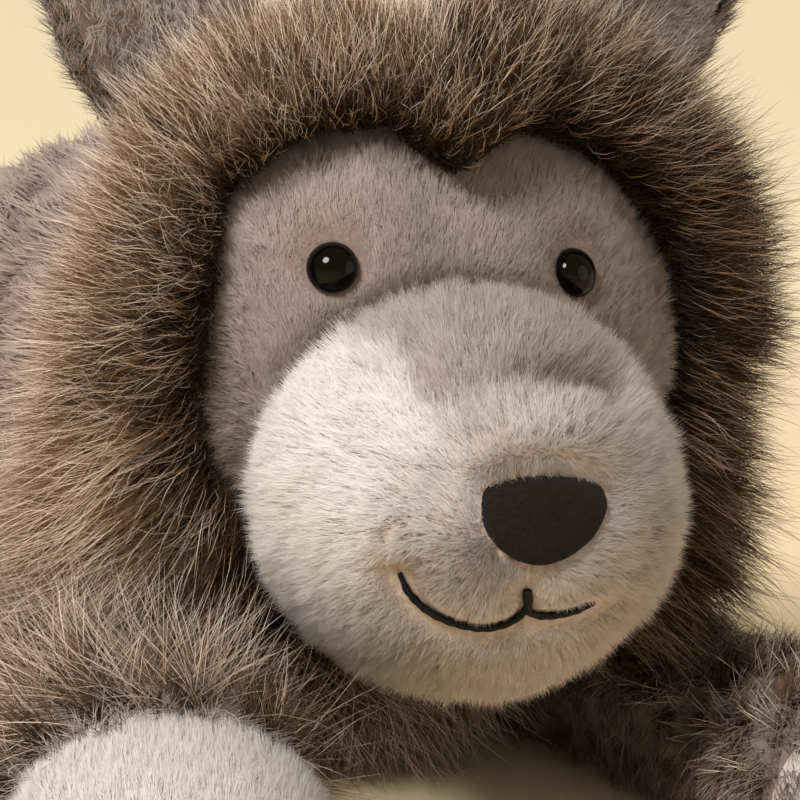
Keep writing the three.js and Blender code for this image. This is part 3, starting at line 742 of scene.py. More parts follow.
def lathe(name, profile, steps, material):
    """A closed turned piece about Z from a profile of radius and height that starts and ends on the axis."""
    points = [(0.0, 0.0, profile[0][1])]
    for radius, height in profile[1:-1]:
        for step in range(steps):
            turn = FULL_TURN * step / steps
            points.append((radius * math.cos(turn), radius * math.sin(turn), height))
    points.append((0.0, 0.0, profile[-1][1]))
    rings = len(profile) - 2
    faces = ring_faces(rings, steps, start=1)
    top = 1 + (rings - 1) * steps
    for step in range(steps):
        after = (step + 1) % steps
        faces.append((0, 1 + after, 1 + step))
        faces.append((top + step, top + after, len(points) - 1))
    return mesh_object(name, np.array(points), faces, material)


def make_eye(word, side):
    stem = [
        (0, -EYE_STEM), (STEM_END_RADIUS, -EYE_STEM), (STEM_RADIUS, -EYE_STEM + STEM_CHAMFER),
        (STEM_RADIUS, EYE_BACK), (EYE_RADIUS - EYE_EDGE, EYE_BACK)]
    dome = [(EYE_RADIUS * math.cos(turn), EYE_LIFT + EYE_DOME * math.sin(turn)) for turn in DOME_TURNS]
    eye = lathe(f"eye_dome_{word}", [*stem, *dome, (0, EYE_LIFT + EYE_DOME)], EYE_STEPS, EYE_GLOSS)
    middle, normal = eye_place(side)
    turn = Vector(UP).rotation_difference(Vector(turned_from_head(normal))).to_matrix().to_4x4()
    eye.data.transform(Matrix.Translation(Vector(from_head(middle)) * MM) @ turn)
    dress(eye, "head", [f"eye_{word}"])


for word, side in SIDES.items():
    make_eye(word, side)


# Nose: a felt pad, crowned, its edge tucked into the muzzle.

NOSE_PROUD = 3.8
NOSE_BACKING = 4
NOSE_TUCK = 2.2
NOSE_TUCK_START = 0.93
NOSE_STEPS = 72
NOSE_SHARES = np.concatenate((np.linspace(0.06, 0.9, 12), np.linspace(NOSE_TUCK_START, 1.0, 6)))


def nose_point(share, turn):
    radius = nose_outline(turn) * share
    rise = NOSE_MIDDLE[1] + radius * np.sin(turn)
    across = NOSE_MIDDLE[0] + radius * np.cos(turn) + nose_shift(rise)
    place = front_of(MUZZLE_RADII, MUZZLE_CENTRE, across, rise)
    crown = NOSE_PROUD * (1 - share ** 5) ** 0.5 - NOSE_TUCK * smooth(NOSE_TUCK_START, 1.0, share)
    return place + FORWARD * crown[..., None]


def make_nose():
    rings, steps = len(NOSE_SHARES), NOSE_STEPS
    turns = np.linspace(0, FULL_TURN, steps, endpoint=False)
    grid = nose_point(*np.meshgrid(NOSE_SHARES, turns, indexing="ij"))
    tip = nose_point(np.zeros(1), np.zeros(1))
    back = tip - FORWARD * (NOSE_PROUD + NOSE_BACKING)
    points = np.vstack((grid.reshape(-1, 3), tip, back))
    faces = []
    for step in range(steps):
        after = (step + 1) % steps
        for ring in range(rings - 1):
            low, high = ring * steps, (ring + 1) * steps
            faces.append((low + step, high + step, high + after, low + after))
        faces.append((rings * steps, step, after))
        last = (rings - 1) * steps
        faces.append((last + step, rings * steps + 1, last + after))
    return mesh_object("nose_pad", from_head(points), faces, FELT)


nose = make_nose()
dress(nose, "head", ["nose"])


# Mouth: one thread for each line, laid in its groove, with a shallow twist of two plies.

PHILTRUM_RADIUS = 1.1
LIP_RADIUS = 0.85
LIP_END_RADIUS = 0.55
LIP_TAPER_START = 0.82
THREAD_LIFT = 1.3
THREAD_SIDES = 12
PLY_PITCH = 3.2
PLY_RELIEF = 0.09


def thread_tube(line, radius):
    """A closed tube along a line on the muzzle's front, as points and faces."""
    flat = front_of(MUZZLE_RADII, 0, line[:, 0], line[:, 1])
    normal = outward(MUZZLE_RADII, flat)
    way = muzzle_shape(flat) + normal * (radius * THREAD_LIFT)[:, None]
    along = unit(np.gradient(way, axis=0))
    across = unit(np.cross(along, normal))
    travel = np.concatenate(([0], np.cumsum(np.linalg.norm(np.diff(way, axis=0), axis=1))))
    points = []
    for step in range(THREAD_SIDES):
        angle = FULL_TURN * step / THREAD_SIDES
        twist = 1 + PLY_RELIEF * np.cos(2 * angle - FULL_TURN * travel / PLY_PITCH)
        out = normal * math.cos(angle) + across * math.sin(angle)
        points.append(way + out * (radius * twist)[:, None])
    points = np.stack(points, axis=1).reshape(-1, 3)
    quads = ring_faces(len(way), THREAD_SIDES)
    faces = [(first, fourth, third, second) for first, second, third, fourth in quads]
    faces.append(list(range(THREAD_SIDES)))
    faces.append(list(reversed(range(len(points) - THREAD_SIDES, len(points)))))
    return points, faces


def make_mouth():
    philtrum, *lips = MOUTH_LINES
    tubes = [thread_tube(philtrum, np.full(len(philtrum), PHILTRUM_RADIUS))]
    for lip in lips:
        taper = smooth(LIP_TAPER_START, 1, np.linspace(0, 1, len(lip)))
        tubes.append(thread_tube(lip, LIP_RADIUS + (LIP_END_RADIUS - LIP_RADIUS) * taper))
    points, faces = [], []
    for tube_points, tube_faces in tubes:
        base = sum(len(made) for made in points)
        faces.extend([base + corner for corner in face] for face in tube_faces)
        points.append(tube_points)
    mouth = mesh_object("mouth_thread", from_head(np.vstack(points)), faces, THREAD)
    dress(mouth, "head", ["mouth_stitch"])


make_mouth()


# Mane pad, and its hair: dark dense underfur, and long pale guard hairs over it.

MANE_END = math.radians(134)
MANE_HEM_START = math.radians(88)
MANE_OUTER = {"left": 84, "right": 74}
MANE_RADIUS = 75
MANE_DEPTH = 20
MANE_SET_BACK = 13
MANE_AHEAD = (-24, -4)
MANE_STEPS = 96
MANE_SIDES = 20
MANE_ROOT_DEPTH = 0.6
MANE_LENGTH_RANGE = (0.6, 1.2)
HEM_FULLNESS = {"left": 0.6, "right": 1.2}
HEM_LEVEL = {"left": 0.3, "right": 0.8}
LEAST_OUTWARD = 0.4
MANE_FULLNESS = {"inner": -0.45, "left": 0.25}
# Tones of the mane's hair: paler tips on the outer rim and down the wolf's lower right, and random patches;
# darker hair by the face, partly dark roots and partly painted shade in the hollow between face and pad; and
# painted shade over the wolf's left side, away from the key.
MANE_TONES = {"inner": -0.72, "outer": 0.38, "left": -0.55, "low_right": 0.5, "patch": 0.15}


def hairline(angle):
    """The hairline's radius at an angle from the top of the head, positive towards the wolf's left."""
    degrees = np.degrees(angle)
    return by_side(
        angle, {word: np.interp(side * degrees, *zip(*HAIRLINE[word])) for word, side in SIDES.items()})


def mane_section(angle):
    """Middle radius, half width and middle Y of the mane's pad at an angle from the top."""
    inner = hairline(angle) - 1
    outer = by_side(angle, MANE_OUTER)
    face = front_of(HEAD_RADII, 0, inner * np.sin(angle), inner * np.cos(angle))[..., 1]
    return (inner + outer) / 2, (outer - inner) / 2, np.clip(face + MANE_SET_BACK, *MANE_AHEAD)


def mane_point(angle, turn, grown):
    """A place on the pad: turn is 0 outside, a quarter at the front and a half at the face."""
    middle, half, ahead = mane_section(angle)
    radius = middle + (half + grown) * np.cos(turn)
    depth = ahead - (MANE_DEPTH + grown) * np.sin(turn)
    return np.stack((radius * np.sin(angle), depth, radius * np.cos(angle)), axis=-1)


def make_mane_pad():
    angles = np.linspace(-MANE_END, MANE_END, MANE_STEPS)
    turns = np.linspace(0, FULL_TURN, MANE_SIDES, endpoint=False)
    points = mane_point(*np.meshgrid(angles, turns, indexing="ij"), 0).reshape(-1, 3)
    faces = ring_faces(MANE_STEPS, MANE_SIDES)
    faces.append(list(reversed(range(MANE_SIDES))))
    faces.append(list(range(len(points) - MANE_SIDES, len(points))))
    pad = mesh_object("mane_pad", from_head(points), faces, MANE_BACKING)
    dress(pad, "head", ["mane"])


make_mane_pad()


def mane_hair(name, material, turns, length, tone, coat):
    """Hair on the mane's pad between two turns, swept outward from the face and hanging at the lower ends."""
    tufts = coat.count // coat.tuft
    tuft = np.repeat(np.arange(tufts), coat.tuft)

    def spaced(low, high, radius):
        """Angles that the strands of a tuft share, but for the tuft's spread at this radius."""
        return rng.uniform(low, high, tufts)[tuft] + rng.normal(size=len(tuft)) * coat.spread / radius

    angle = spaced(-MANE_END, MANE_END, MANE_RADIUS)
    turn = spaced(*np.radians(turns), MANE_DEPTH)
    roots = mane_point(angle, turn, -MANE_ROOT_DEPTH)
    middles = roots.reshape(tufts, coat.tuft, 3).mean(axis=1)[tuft]
    radial = np.stack((np.sin(angle), np.zeros(len(angle)), np.cos(angle)), axis=-1)
    normals = unit(radial * np.cos(turn)[:, None] + FORWARD * np.sin(turn)[:, None])
    inner = smooth(1.0, 2.6, turn)
    outer = smooth(0.9, -0.5, turn)
    front = smooth(-0.3, 1.4, turn)
    hem = smooth(MANE_HEM_START, MANE_END, np.abs(angle))
    fuller = 1 + weighed(MANE_FULLNESS, inner=inner, left=smooth(0.4, 1.0, angle))
    fuller += by_side(angle, HEM_FULLNESS) * hem
    reach = length * fuller * rng.uniform(*MANE_LENGTH_RANGE, len(tuft))
    stray = tuft_noise(tuft, 3) * coat.jitter
    drawn = (roots - middles) * (coat.clump / reach)[:, None]
    level = hem * by_side(angle, HEM_LEVEL)
    spread = radial - UP * (radial[:, 2] * level)[:, None]
    start = spread * (1 - 1.5 * inner)[:, None] + FORWARD * (1.1 * front - 0.1)[:, None] - stray * 0.4
    finish = spread + FORWARD * (0.3 * front - 0.15 + 0.5 * hem)[:, None] - UP * 0.15 + stray - drawn
    finish -= radial * np.minimum(0, (finish * radial).sum(axis=1) - LEAST_OUTWARD)[:, None]
    # Painted shade darkens the hair by the face, in part, and over the wolf's left side, away from the key.
    shade = tone + weighed(
        MANE_TONES, inner=inner, outer=outer, left=smooth(0.2, 1.2, angle),
        low_right=smooth(-1.2, -2.0, angle), patch=ripple(roots, 17, 41))
    shade += tuft_noise(tuft, 1)[:, 0] * coat.mottle
    width = coat.width * rng.uniform(*WIDTH_RANGE, len(tuft))
    ways = (turned_from_head(way) for way in (normals, unit(start), unit(finish)))
    grow(name, "head", material, Strands(from_head(roots), *ways, reach, width, shade), coat)


mane_hair("mane_underfur", MANE_PILE, (-85, 178), length=19, tone=0.22, coat=UNDERFUR_COAT)
mane_hair("mane_guard_hair", GUARD_PILE, (-85, 112), length=25, tone=0.44, coat=GUARD_COAT)


# Short pile of the face, combed up and away from the muzzle, with a fuzzy edge at the hairline.

EYES = np.array([eye_place(side)[0] for side in SIDES.values()])
EYE_CLEARANCE = 5.6
EDGE_OVERLAP = 4
EDGE_WIDTH = 7
FACE_BACK = 5
IN_MUZZLE = 0.97
FACE_FAN = (0.55, 0, 1)
FACE_FAN_FOOT = (0, 0, -38)
FACE_LENGTHS = {"least": 1.4, "off_eye": 3.2, "by_hair": 4.5}
CREASE_MIDDLE = -8
CREASE_SHORTENING = 0.4
FACE_TONE = 0.8
# Tones of the face's pile: random patches, and painted light and shade: painted shade on the wolf's right
# cheek, above the eyes and in the fold where the brow meets the muzzle, and near the hairline a paler edge
# that is partly pale tips and partly painted light against the mane's shadow.
FACE_TONES = {"cheek": -0.16, "over_eye": -0.4, "crease": -0.75, "edge": 0.3, "patch": 0.08}


def eye_distance(local):
    return np.minimum(*(np.linalg.norm(local - eye, axis=1) for eye in EYES))


def muzzle_depth(local):
    """How far out places of the head are from the muzzle's centre, where 1 is on its surface."""
    return np.linalg.norm((local - MUZZLE_CENTRE) / MUZZLE_RADII, axis=1)


def hairline_gap(local):
    """How far inside the hairline places of the face are."""
    return hairline(np.arctan2(local[:, 0], local[:, 2])) - np.hypot(local[:, 0], local[:, 2])


def brow_crease(local):
    """1 in the fold where the brow meets the muzzle's top, 0 away from it."""
    along = smooth(46, 22, np.abs(local[:, 0] - CREASE_MIDDLE))
    return smooth(1.24, 1.08, muzzle_depth(local)) * smooth(4, 14, local[:, 2]) * along


def face_keep(places):
    local = to_head(places)
    shown = (hairline_gap(local) > -EDGE_OVERLAP) & (local[:, 1] < FACE_BACK)
    return shown & (muzzle_depth(local) > IN_MUZZLE) & (eye_distance(local) > EYE_CLEARANCE)


def edge_keep(places):
    return face_keep(places) & (hairline_gap(to_head(places)) < EDGE_WIDTH)


def face_flow(places):
    local = to_head(places)
    by_hair = smooth(12, 1, hairline_gap(local))[:, None]
    way = unit(local * FACE_FAN - FACE_FAN_FOOT) * (1 - by_hair) + unit(local * (1, 0, 1)) * by_hair
    return turned_from_head(way + 0.22 * drift(local, 24, 3))


def face_length(places):
    local = to_head(places)
    by_hair = smooth(9, 0, hairline_gap(local))
    off_eye = smooth(EYE_CLEARANCE, 12, eye_distance(local))
    length = weighed(FACE_LENGTHS, least=1, off_eye=off_eye, by_hair=by_hair)
    return length * (1 - CREASE_SHORTENING * brow_crease(local))


def face_shade(places):
    local = to_head(places)
    return FACE_TONE + weighed(
        FACE_TONES,
        # painted shade on the wolf's right cheek
        cheek=smooth(-28, -58, local[:, 0]),
        # painted shade above the eyes, under the brow
        over_eye=smooth(11, 6, eye_distance(local)) * smooth(-5, 5, local[:, 2] - EYE_RISE),
        # painted shade in the fold where the brow meets the muzzle
        crease=brow_crease(local),
        # a paler edge by the hairline: pale tips, and painted light against the shadow of the mane's hair
        edge=smooth(18, 5, hairline_gap(local)) * smooth(25, 45, local[:, 2]),
        patch=ripple(local, 18, 5))


def nape_keep(places):
    local = to_head(places)
    return (local[:, 1] > -6) & (local[:, 2] > -30)


lay_pile("face_pile", "head", FACE_PILE, form_of(head), FACE_COAT,
         keep=face_keep, flow=face_flow, length=face_length, shade=face_shade)
lay_pile("face_edge_pile", "head", FACE_PILE, form_of(head), EDGE_COAT,
         keep=edge_keep, flow=face_flow, length=6.5, shade=0.95)
lay_pile("nape_pile", "head", BODY_PILE, form_of(head), BODY_COAT._replace(count=12000),
         keep=nape_keep, flow=(0, 1, -0.5), length=11, shade=0.35)


# Pile of the muzzle, combed back from the nose: cream, with a taupe bridge.

# How far the bridge's taupe reaches to either side, from in front of the nose to the brow.
BRIDGE_DEPTHS = (-42, -32, -24, 3, 30)
BRIDGE_HALF_WIDTHS = (9, 15, 22, 28, 30)
BRIDGE_FADE = 4

HEAD_SHARE = 0.96
LIP_CLEARANCE = 2.0
NOSE_OVERLAP = 0.3
EDGE_DENSITY = 1.5
PARTING = np.array((0, -52, NOSE_MIDDLE[1] - 3))
MUZZLE_LEAST_LENGTH = 1.5

# Spots of painted shade on the muzzle's front, across and up from its centre, and how far they reach.
BESIDE_NOSE = (-11, 7)
ABOVE_NOSE = (-3, 20)
SPOT_REACH = 7.75
CORNER_REACH = 7.07

MUZZLE_TONE = 0.9
# Apart from the taupe bridge and the random patches, these tones are painted light and shade: a painted
# highlight on the nose ridge and painted light on the wolf's right side; painted shade in the fold above the
# nose, in the mouth's corner, beside and above the nose, on the underside and over the wolf's left side; and
# over the front a tan tint with painted shade.
MUZZLE_TONES = {
    "bridge": -0.7, "ridge": 0.5, "fold": -0.3, "front": -0.32, "corner": -0.5, "left": -0.3,
    "beside_nose": -0.45, "above_nose": -0.3, "under": -0.15, "right": 0.12, "patch": 0.05,
}


def muzzle_local(places):
    return to_head(places) - MUZZLE_CENTRE


def muzzle_keep(places):
    local = muzzle_local(places)
    in_head = np.linalg.norm((local + MUZZLE_CENTRE) / (HEAD_RADII * HEAD_SHARE), axis=1) < 1
    by_mouth, by_nose = mouth_distance(local), nose_distance(local)
    shown = ~in_head & (by_nose > -NOSE_OVERLAP) & (by_mouth > LIP_CLEARANCE)
    return shown * (1 + EDGE_DENSITY * smooth(8, 2, np.minimum(by_mouth, by_nose)))


def muzzle_flow(places):
    """Back from the nose, but over its top edge."""
    local = muzzle_local(places)
    fringe = smooth(6, 2, nose_distance(local)) * smooth(2, 7, local[:, 2] - NOSE_MIDDLE[1])
    back = unit(local - PARTING) * (1 - fringe)[:, None]
    return turned_from_head(back - UP * fringe[:, None] + 0.3 * drift(local, 17, 11))


def muzzle_length(places):
    local = muzzle_local(places)
    by_mouth = smooth(2.2, 8, mouth_distance(local))
    by_nose = smooth(0, 9, nose_distance(local))
    side = smooth(24, 42, np.hypot(local[:, 0], local[:, 2]))
    uneven = 1 + 0.18 * ripple(local, 14, 8)
    return MUZZLE_LEAST_LENGTH + (4 + 2 * side) * by_mouth * (0.5 + 0.5 * by_nose) * uneven


def spot(local, middle, reach):
    return np.exp(-((local[:, (0, 2)] - middle) ** 2).sum(axis=1) / reach ** 2)


def muzzle_shade(places):
    local = muzzle_local(places)
    across, depth, rise = local.T
    edge = np.interp(depth, BRIDGE_DEPTHS, BRIDGE_HALF_WIDTHS) + 2 * ripple(local, 12, 9)
    bridge = smooth(edge + BRIDGE_FADE, edge - BRIDGE_FADE, np.abs(across)) * smooth(15, 24, rise)
    ahead = smooth(-22, -38, depth)
    front = ahead * smooth(-38, -27, across) * (1 - bridge)
    return MUZZLE_TONE + weighed(
        MUZZLE_TONES,
        bridge=bridge,
        # painted highlight on the raised ridge over the nose
        ridge=raised(local, [NOSE_RIDGE._replace(rise=1)]) * bridge,
        # painted shade in the fold between the bridge and the nose
        fold=raised(local, [BRIDGE_FOLD._replace(rise=1, reach=5, squeeze=(0.25, 0.9, 1))]),
        # a tan tint over the front, with painted shade where the front faces away from the key
        front=front,
        # painted shade in the dimple at the mouth's corner on the wolf's right
        corner=spot(local, RIGHT_LIP[-1], CORNER_REACH) * front,
        # painted shade over the wolf's left side, away from the key
        left=smooth(-2, 34, across) * (1 - bridge),
        # painted shade beside the nose and where the ridge dips to the nose's top
        beside_nose=spot(local, BESIDE_NOSE, SPOT_REACH) * front,
        above_nose=spot(local, ABOVE_NOSE, SPOT_REACH) * ahead,
        # painted shade on the muzzle's underside
        under=smooth(-8, -30, rise),
        # painted light low on the wolf's right side, where the muzzle turns under and the lamps leave it dark
        right=smooth(-28, -38, across),
        patch=ripple(local, 9, 12))


def nose_keep(places):
    local = muzzle_local(places)
    return (local[:, 1] < -30) & (nose_distance(local) < -0.8)


lay_pile("muzzle_pile", "head", MUZZLE_PILE, form_of(muzzle), MUZZLE_COAT,
         keep=muzzle_keep, flow=muzzle_flow, length=muzzle_length, shade=muzzle_shade)
lay_pile("nose_fuzz", "head", NOSE_FUZZ, form_of(nose), NOSE_COAT,
         keep=nose_keep, flow=(0, -0.2, -1), length=0.9, shade=0.45)


# Torso, chest and neck.

FLOOR_MARGIN = 2.5
HEAD_MARGIN = 9
HAUNCH_RADIUS = 42
HAUNCH_HALF_WIDTH = 22
CHEST_FRONT = -128


def clear_of_head(points):
    """Points of the torso, moved out of the room that the head takes up as it turns."""
    for degrees in HEAD_TURNS:
        turn = rotation(math.radians(degrees), "Z")
        local = to_head((points - NECK) @ turn + NECK)
        depth = np.linalg.norm(local / (HEAD_RADII + HEAD_ROOM), axis=1, keepdims=True)
        points = (from_head(local * np.maximum(1, 1 / depth)) - NECK) @ turn.T + NECK
    return points


def pile_form(name, node, replaced, body, material, in_paw=None):
    """A stuffed form in place of nodes, backed in cream where in_paw holds."""
    piece = stuffed_form(name, node, material)
    dress(piece, body, replaced)
    if in_paw:
        piece.data.materials.append(CREAM_BACKING)
        middles = np.array([face.center for face in piece.data.polygons]) / MM
        piece.data.polygons.foreach_set("material_index", in_paw(middles).astype(np.int32))
    return form_of(piece)


def off_floor(places):
    return places[:, 2] > FLOOR_MARGIN


def body_shade(places):
    return 0.62 + 0.2 * ripple(places, 34, 21)


def torso_keep(places):
    in_head = np.linalg.norm((places - HEAD_CENTRE) / (HEAD_RADII + HEAD_MARGIN), axis=1) < 1
    hip = np.abs(places) * (1, 0, 0) + places * (0, 1, 1) - HIP
    in_haunch = (np.hypot(hip[:, 1], hip[:, 2]) < HAUNCH_RADIUS) & (np.abs(hip[:, 0]) < HAUNCH_HALF_WIDTH)
    return off_floor(places) & ~in_head & ~in_haunch


def chest_keep(places):
    return (places[:, 1] < CHEST_FRONT) & off_floor(places)


def chest_flow(places):
    return places * (0.01, 0, 0) + (0, -0.7, -0.8) + 0.2 * drift(places, 20, 31)


torso = stuffed_form("torso_form", "body_stuffing", TAUPE_BACKING)
set_points(torso, clear_of_head(form_of(torso)[0]))
dress(torso, "torso", ["body_skin", "body_stuffing"])
lay_pile("torso_pile", "torso", BODY_PILE, form_of(torso), TORSO_COAT,
         keep=torso_keep, flow=(0, 1, -0.55), length=12, shade=body_shade)

chest = pile_form("chest_pad", "chest_ruff", ["chest_ruff"], "torso", MANE_BACKING)
lay_pile("chest_hair", "torso", MANE_PILE, chest, UNDERFUR_COAT._replace(count=9000),
         keep=chest_keep, flow=chest_flow, length=34, shade=0.35)
lay_pile("chest_guard_hair", "torso", GUARD_PILE, chest, GUARD_COAT._replace(count=5000),
         keep=chest_keep, flow=chest_flow, length=44, shade=0.5)

neck = pile_form("neck_form", "neck", ["neck"], "neck", TAUPE_BACKING)
lay_pile("neck_pile", "neck", BODY_PILE, neck, BODY_COAT._replace(count=4000),
         keep=1, flow=(0, 1, -0.5), length=10, shade=0.4)


# Legs. Mane hair lies over the shoulders, more of it on the right, where the leg's own pile is longer too.

LEG_START = -18
RUFF_END = 154
RUFF_FADE = 20
RUFF_FOOT = 24

# A foreleg's coat: its tone, how far tones differ, its length by the paw and how much longer it is above,
# how far it hangs over the paw, the lengths of the two kinds of mane hair, and the counts of strands. The
# left leg's darker tone is painted shade, as that leg lies away from the key.
FrontCoat = namedtuple(
    "FrontCoat", "tone mottle by_paw longer overhang ruff guard leg_count paw_count ruff_count guard_count")
FRONT_COATS = {
    "left": FrontCoat(
        tone=0.1, mottle=0.1, by_paw=15, longer=-1, overhang=8, ruff=13, guard=15,
        leg_count=15000, paw_count=24000, ruff_count=5120, guard_count=1800),
    "right": FrontCoat(
        tone=0.5, mottle=0.3, by_paw=11, longer=14, overhang=0, ruff=24, guard=34,
        leg_count=18000, paw_count=62000, ruff_count=10240, guard_count=4200),
}


def leg_form(kind, word, in_paw):
    """A leg's stuffed form in place of its plush, its paw and its filling."""
    nodes = [f"{kind}_{word}_{part}" for part in ("leg", "paw", "stuffing")]
    name, body = f"{kind}_{word}_form", f"{kind}_leg_{word}"
    return pile_form(name, nodes[-1], nodes, body, TAUPE_BACKING, in_paw)


def front_leg(word):
    side, splay, coat = SIDES[word], FRONT_SPLAY[word], FRONT_COATS[word]
    shoulder = SHOULDER * (side, 1, 1)
    way = np.array((side * math.sin(splay), -math.cos(splay), 0.0))
    hem = FRONT_PAW_SEAM + coat.overhang

    def along(places):
        return (places - shoulder) @ way

    def in_paw(places):
        return along(places) >= FRONT_PAW_SEAM

    def leg_keep(places):
        return (along(places) > LEG_START) & (along(places) < hem) & off_floor(places)

    def paw_keep(places):
        return (along(places) >= hem) & off_floor(places)

    def leg_length(places):
        outside = smooth(106, 122, np.abs(places[:, 0]))
        return (coat.by_paw + coat.longer * smooth(145, 95, along(places))) * (1 - 0.5 * outside)

    def leg_shade(places):
        return coat.tone + 0.18 * ripple(places, 22, 23)

    def ruff_keep(places):
        inside = smooth(112, 94, np.abs(places[:, 0])) * (places[:, 2] > RUFF_FOOT)
        return smooth(RUFF_END, RUFF_END - RUFF_FADE, along(places)) * inside

    body = f"front_leg_{word}"
    form = leg_form("front", word, in_paw)
    ruff_flow = (side * 0.85, -0.4, -0.3)
    lay_pile(f"front_{word}_pile", body, BODY_PILE, form,
             LEG_COAT._replace(count=coat.leg_count, mottle=coat.mottle),
             keep=leg_keep, flow=way - UP * 0.35, length=leg_length, shade=leg_shade)
    lay_pile(f"front_{word}_paw_pile", body, PAW_PILE, form,
             PAW_COAT._replace(count=coat.paw_count),
             keep=paw_keep, flow=UP - way * 0.7, length=5.5, shade=0.6)
    lay_pile(f"front_{word}_ruff", body, MANE_PILE, form,
             UNDERFUR_COAT._replace(count=coat.ruff_count),
             keep=ruff_keep, flow=ruff_flow, length=coat.ruff, shade=0.3)
    lay_pile(f"front_{word}_ruff_guard", body, GUARD_PILE, form,
             GUARD_COAT._replace(count=coat.guard_count),
             keep=ruff_keep, flow=ruff_flow, length=coat.guard, shade=0.5)


def hind_leg(word):
    hip = HIP * (SIDES[word], 1, 1)

    def in_paw(places):
        return hip[1] - places[:, 1] >= HIND_PAW_SEAM

    def leg_keep(places):
        return ~in_paw(places) & off_floor(places)

    def paw_keep(places):
        return in_paw(places) & off_floor(places)

    body = f"hind_leg_{word}"
    form = leg_form("hind", word, in_paw)
    flow = (0, -0.5, -0.8)
    lay_pile(f"hind_{word}_pile", body, BODY_PILE, form,
             BODY_COAT._replace(count=11000, width=0.24),
             keep=leg_keep, flow=flow, length=10, shade=body_shade)
    lay_pile(f"hind_{word}_paw_pile", body, PAW_PILE, form,
             PAW_COAT._replace(count=9000, width=0.2),
             keep=paw_keep, flow=flow, length=6, shade=0.6)


for word in SIDES:
    front_leg(word)
    hind_leg(word)


# Tail, darker at its tip.


def tail_shade(places):
    return 0.55 - 0.4 * smooth(TAIL_TIP_SEAM - 20, TAIL_TIP_SEAM + 10, places[:, 1] - TAIL_ROOT[1])


TAIL_NODES = ["tail_brush", "tail_tip", "tail_stuffing"]
tail = pile_form("tail_form", "tail_stuffing", TAIL_NODES, "tail", MANE_BACKING)
lay_pile("tail_hair", "tail", TAIL_PILE, tail, TAIL_COAT,
         keep=off_floor, flow=(0, 1, -0.25), length=17, shade=tail_shade)


# Ears: a cupped leaf of plush with a paler lining.

EAR_THICKNESS = 4.5
EAR_CUP = 7
EAR_TIP_BOW = 5
EAR_TIP_HALF_WIDTH = 0.6
EAR_FOOT = 0.72
EAR_SWELL = 0.32
EAR_WIDEST = 0.42
EAR_TAPER_START = 0.35
EAR_TAPER_POWER = 1.6
LINING_MARGIN = 4
LINING_FRONT = -5.2
LINING_BACK = -2.6
# Each ear's tone; the wolf's left ear, away from the key, is darker as painted shade.
EAR_TONE = {"left": 0.25, "right": 0.7}
RIM_DENSITY = 4
RIM_WIDTH = 5


def ear_half_width(share):
    foot = EAR_FOOT + EAR_SWELL * np.sin(np.clip(share / EAR_WIDEST, 0, 1) * math.pi / 2)
    taper = np.clip(1 - smooth(EAR_TAPER_START, 1.0, share) ** EAR_TAPER_POWER, 0, 1)
    return EAR_HALF_WIDTH * foot * np.sqrt(taper)


def ear_leaf(name, margin, front, back, side, material):
    """A closed leaf in the ear's frame: across X, up Z, its edges cupped forward, between two depths."""
    rows, columns = 26, 14
    share = np.linspace(0.0, 0.995, rows)[:, None]
    span = np.linspace(-1, 1, columns)[None]
    across = np.maximum(ear_half_width(share) - margin, EAR_TIP_HALF_WIDTH) * span
    rise = margin + share * (EAR_LENGTH - 2 * margin) + 0 * span
    bow = -EAR_CUP * (across / EAR_HALF_WIDTH) ** 2 - EAR_TIP_BOW * smooth(0.3, 1.0, share) ** 2
    rim = np.sqrt(np.clip(1 - span ** 4, 0, 1))
    thick = (back - front) / 2 * rim * (1 - 0.6 * share ** 6)
    sheets = [np.stack((across, (front + back) / 2 + bow + sign * thick, rise), axis=-1) for sign in (-1, 1)]
    points = np.vstack([sheet.reshape(-1, 3) for sheet in sheets])
    count = rows * columns
    faces = []
    for row in range(rows - 1):
        for column in range(columns - 1):
            low, high = row * columns + column, (row + 1) * columns + column
            faces.append((low, low + 1, high + 1, high))
            faces.append((count + low, count + high, count + high + 1, count + low + 1))
        for edge, flip in ((0, False), (columns - 1, True)):
            low, high = row * columns + edge, (row + 1) * columns + edge
            ring = (low, high, count + high, count + low)
            faces.append(ring[::-1] if flip else ring)
    for row, flip in ((0, True), (rows - 1, False)):
        for column in range(columns - 1):
            low = row * columns + column
            ring = (low, low + 1, count + low + 1, count + low)
            faces.append(ring[::-1] if flip else ring)
    tilt = rotation(side * EAR_TILT, "Y")
    return mesh_object(name, from_head(points @ tilt.T + EAR_ROOT * (side, 1, 1)), faces, material)


def make_ear(word, side):
    body = f"ear_{word}"
    tilt = rotation(side * EAR_TILT, "Y")
    back = ear_leaf(f"{body}_leaf", 0, -EAR_THICKNESS / 2, EAR_THICKNESS / 2, side, TAUPE_BACKING)
    lining = ear_leaf(f"{body}_inside", LINING_MARGIN, LINING_FRONT, LINING_BACK, side, LINING_BACKING)
    dress(back, body, [f"{body}_back"])
    dress(lining, body, [f"{body}_lining"])

    def rim_weight(places):
        local = (to_head(places) - EAR_ROOT * (side, 1, 1)) @ tilt
        half = ear_half_width(np.clip(local[:, 2] / EAR_LENGTH, 0, 1))
        return 1 + RIM_DENSITY * smooth(RIM_WIDTH, 0, half - np.abs(local[:, 0]))

    tip = turned_from_head(tilt @ UP)
    lay_pile(f"{body}_pile", body, BODY_PILE, form_of(back), EAR_COAT,
             keep=rim_weight, flow=tip, length=8, shade=EAR_TONE[word])
    lay_pile(f"{body}_lining_pile", body, LINING_PILE, form_of(lining), LINING_COAT,
             keep=1, flow=tip, length=6, shade=EAR_TONE[word])


for word, side in SIDES.items():
    make_ear(word, side)


# The pellet bag and the eyes' washers stay inside as they were made. The forms replace all other nodes.

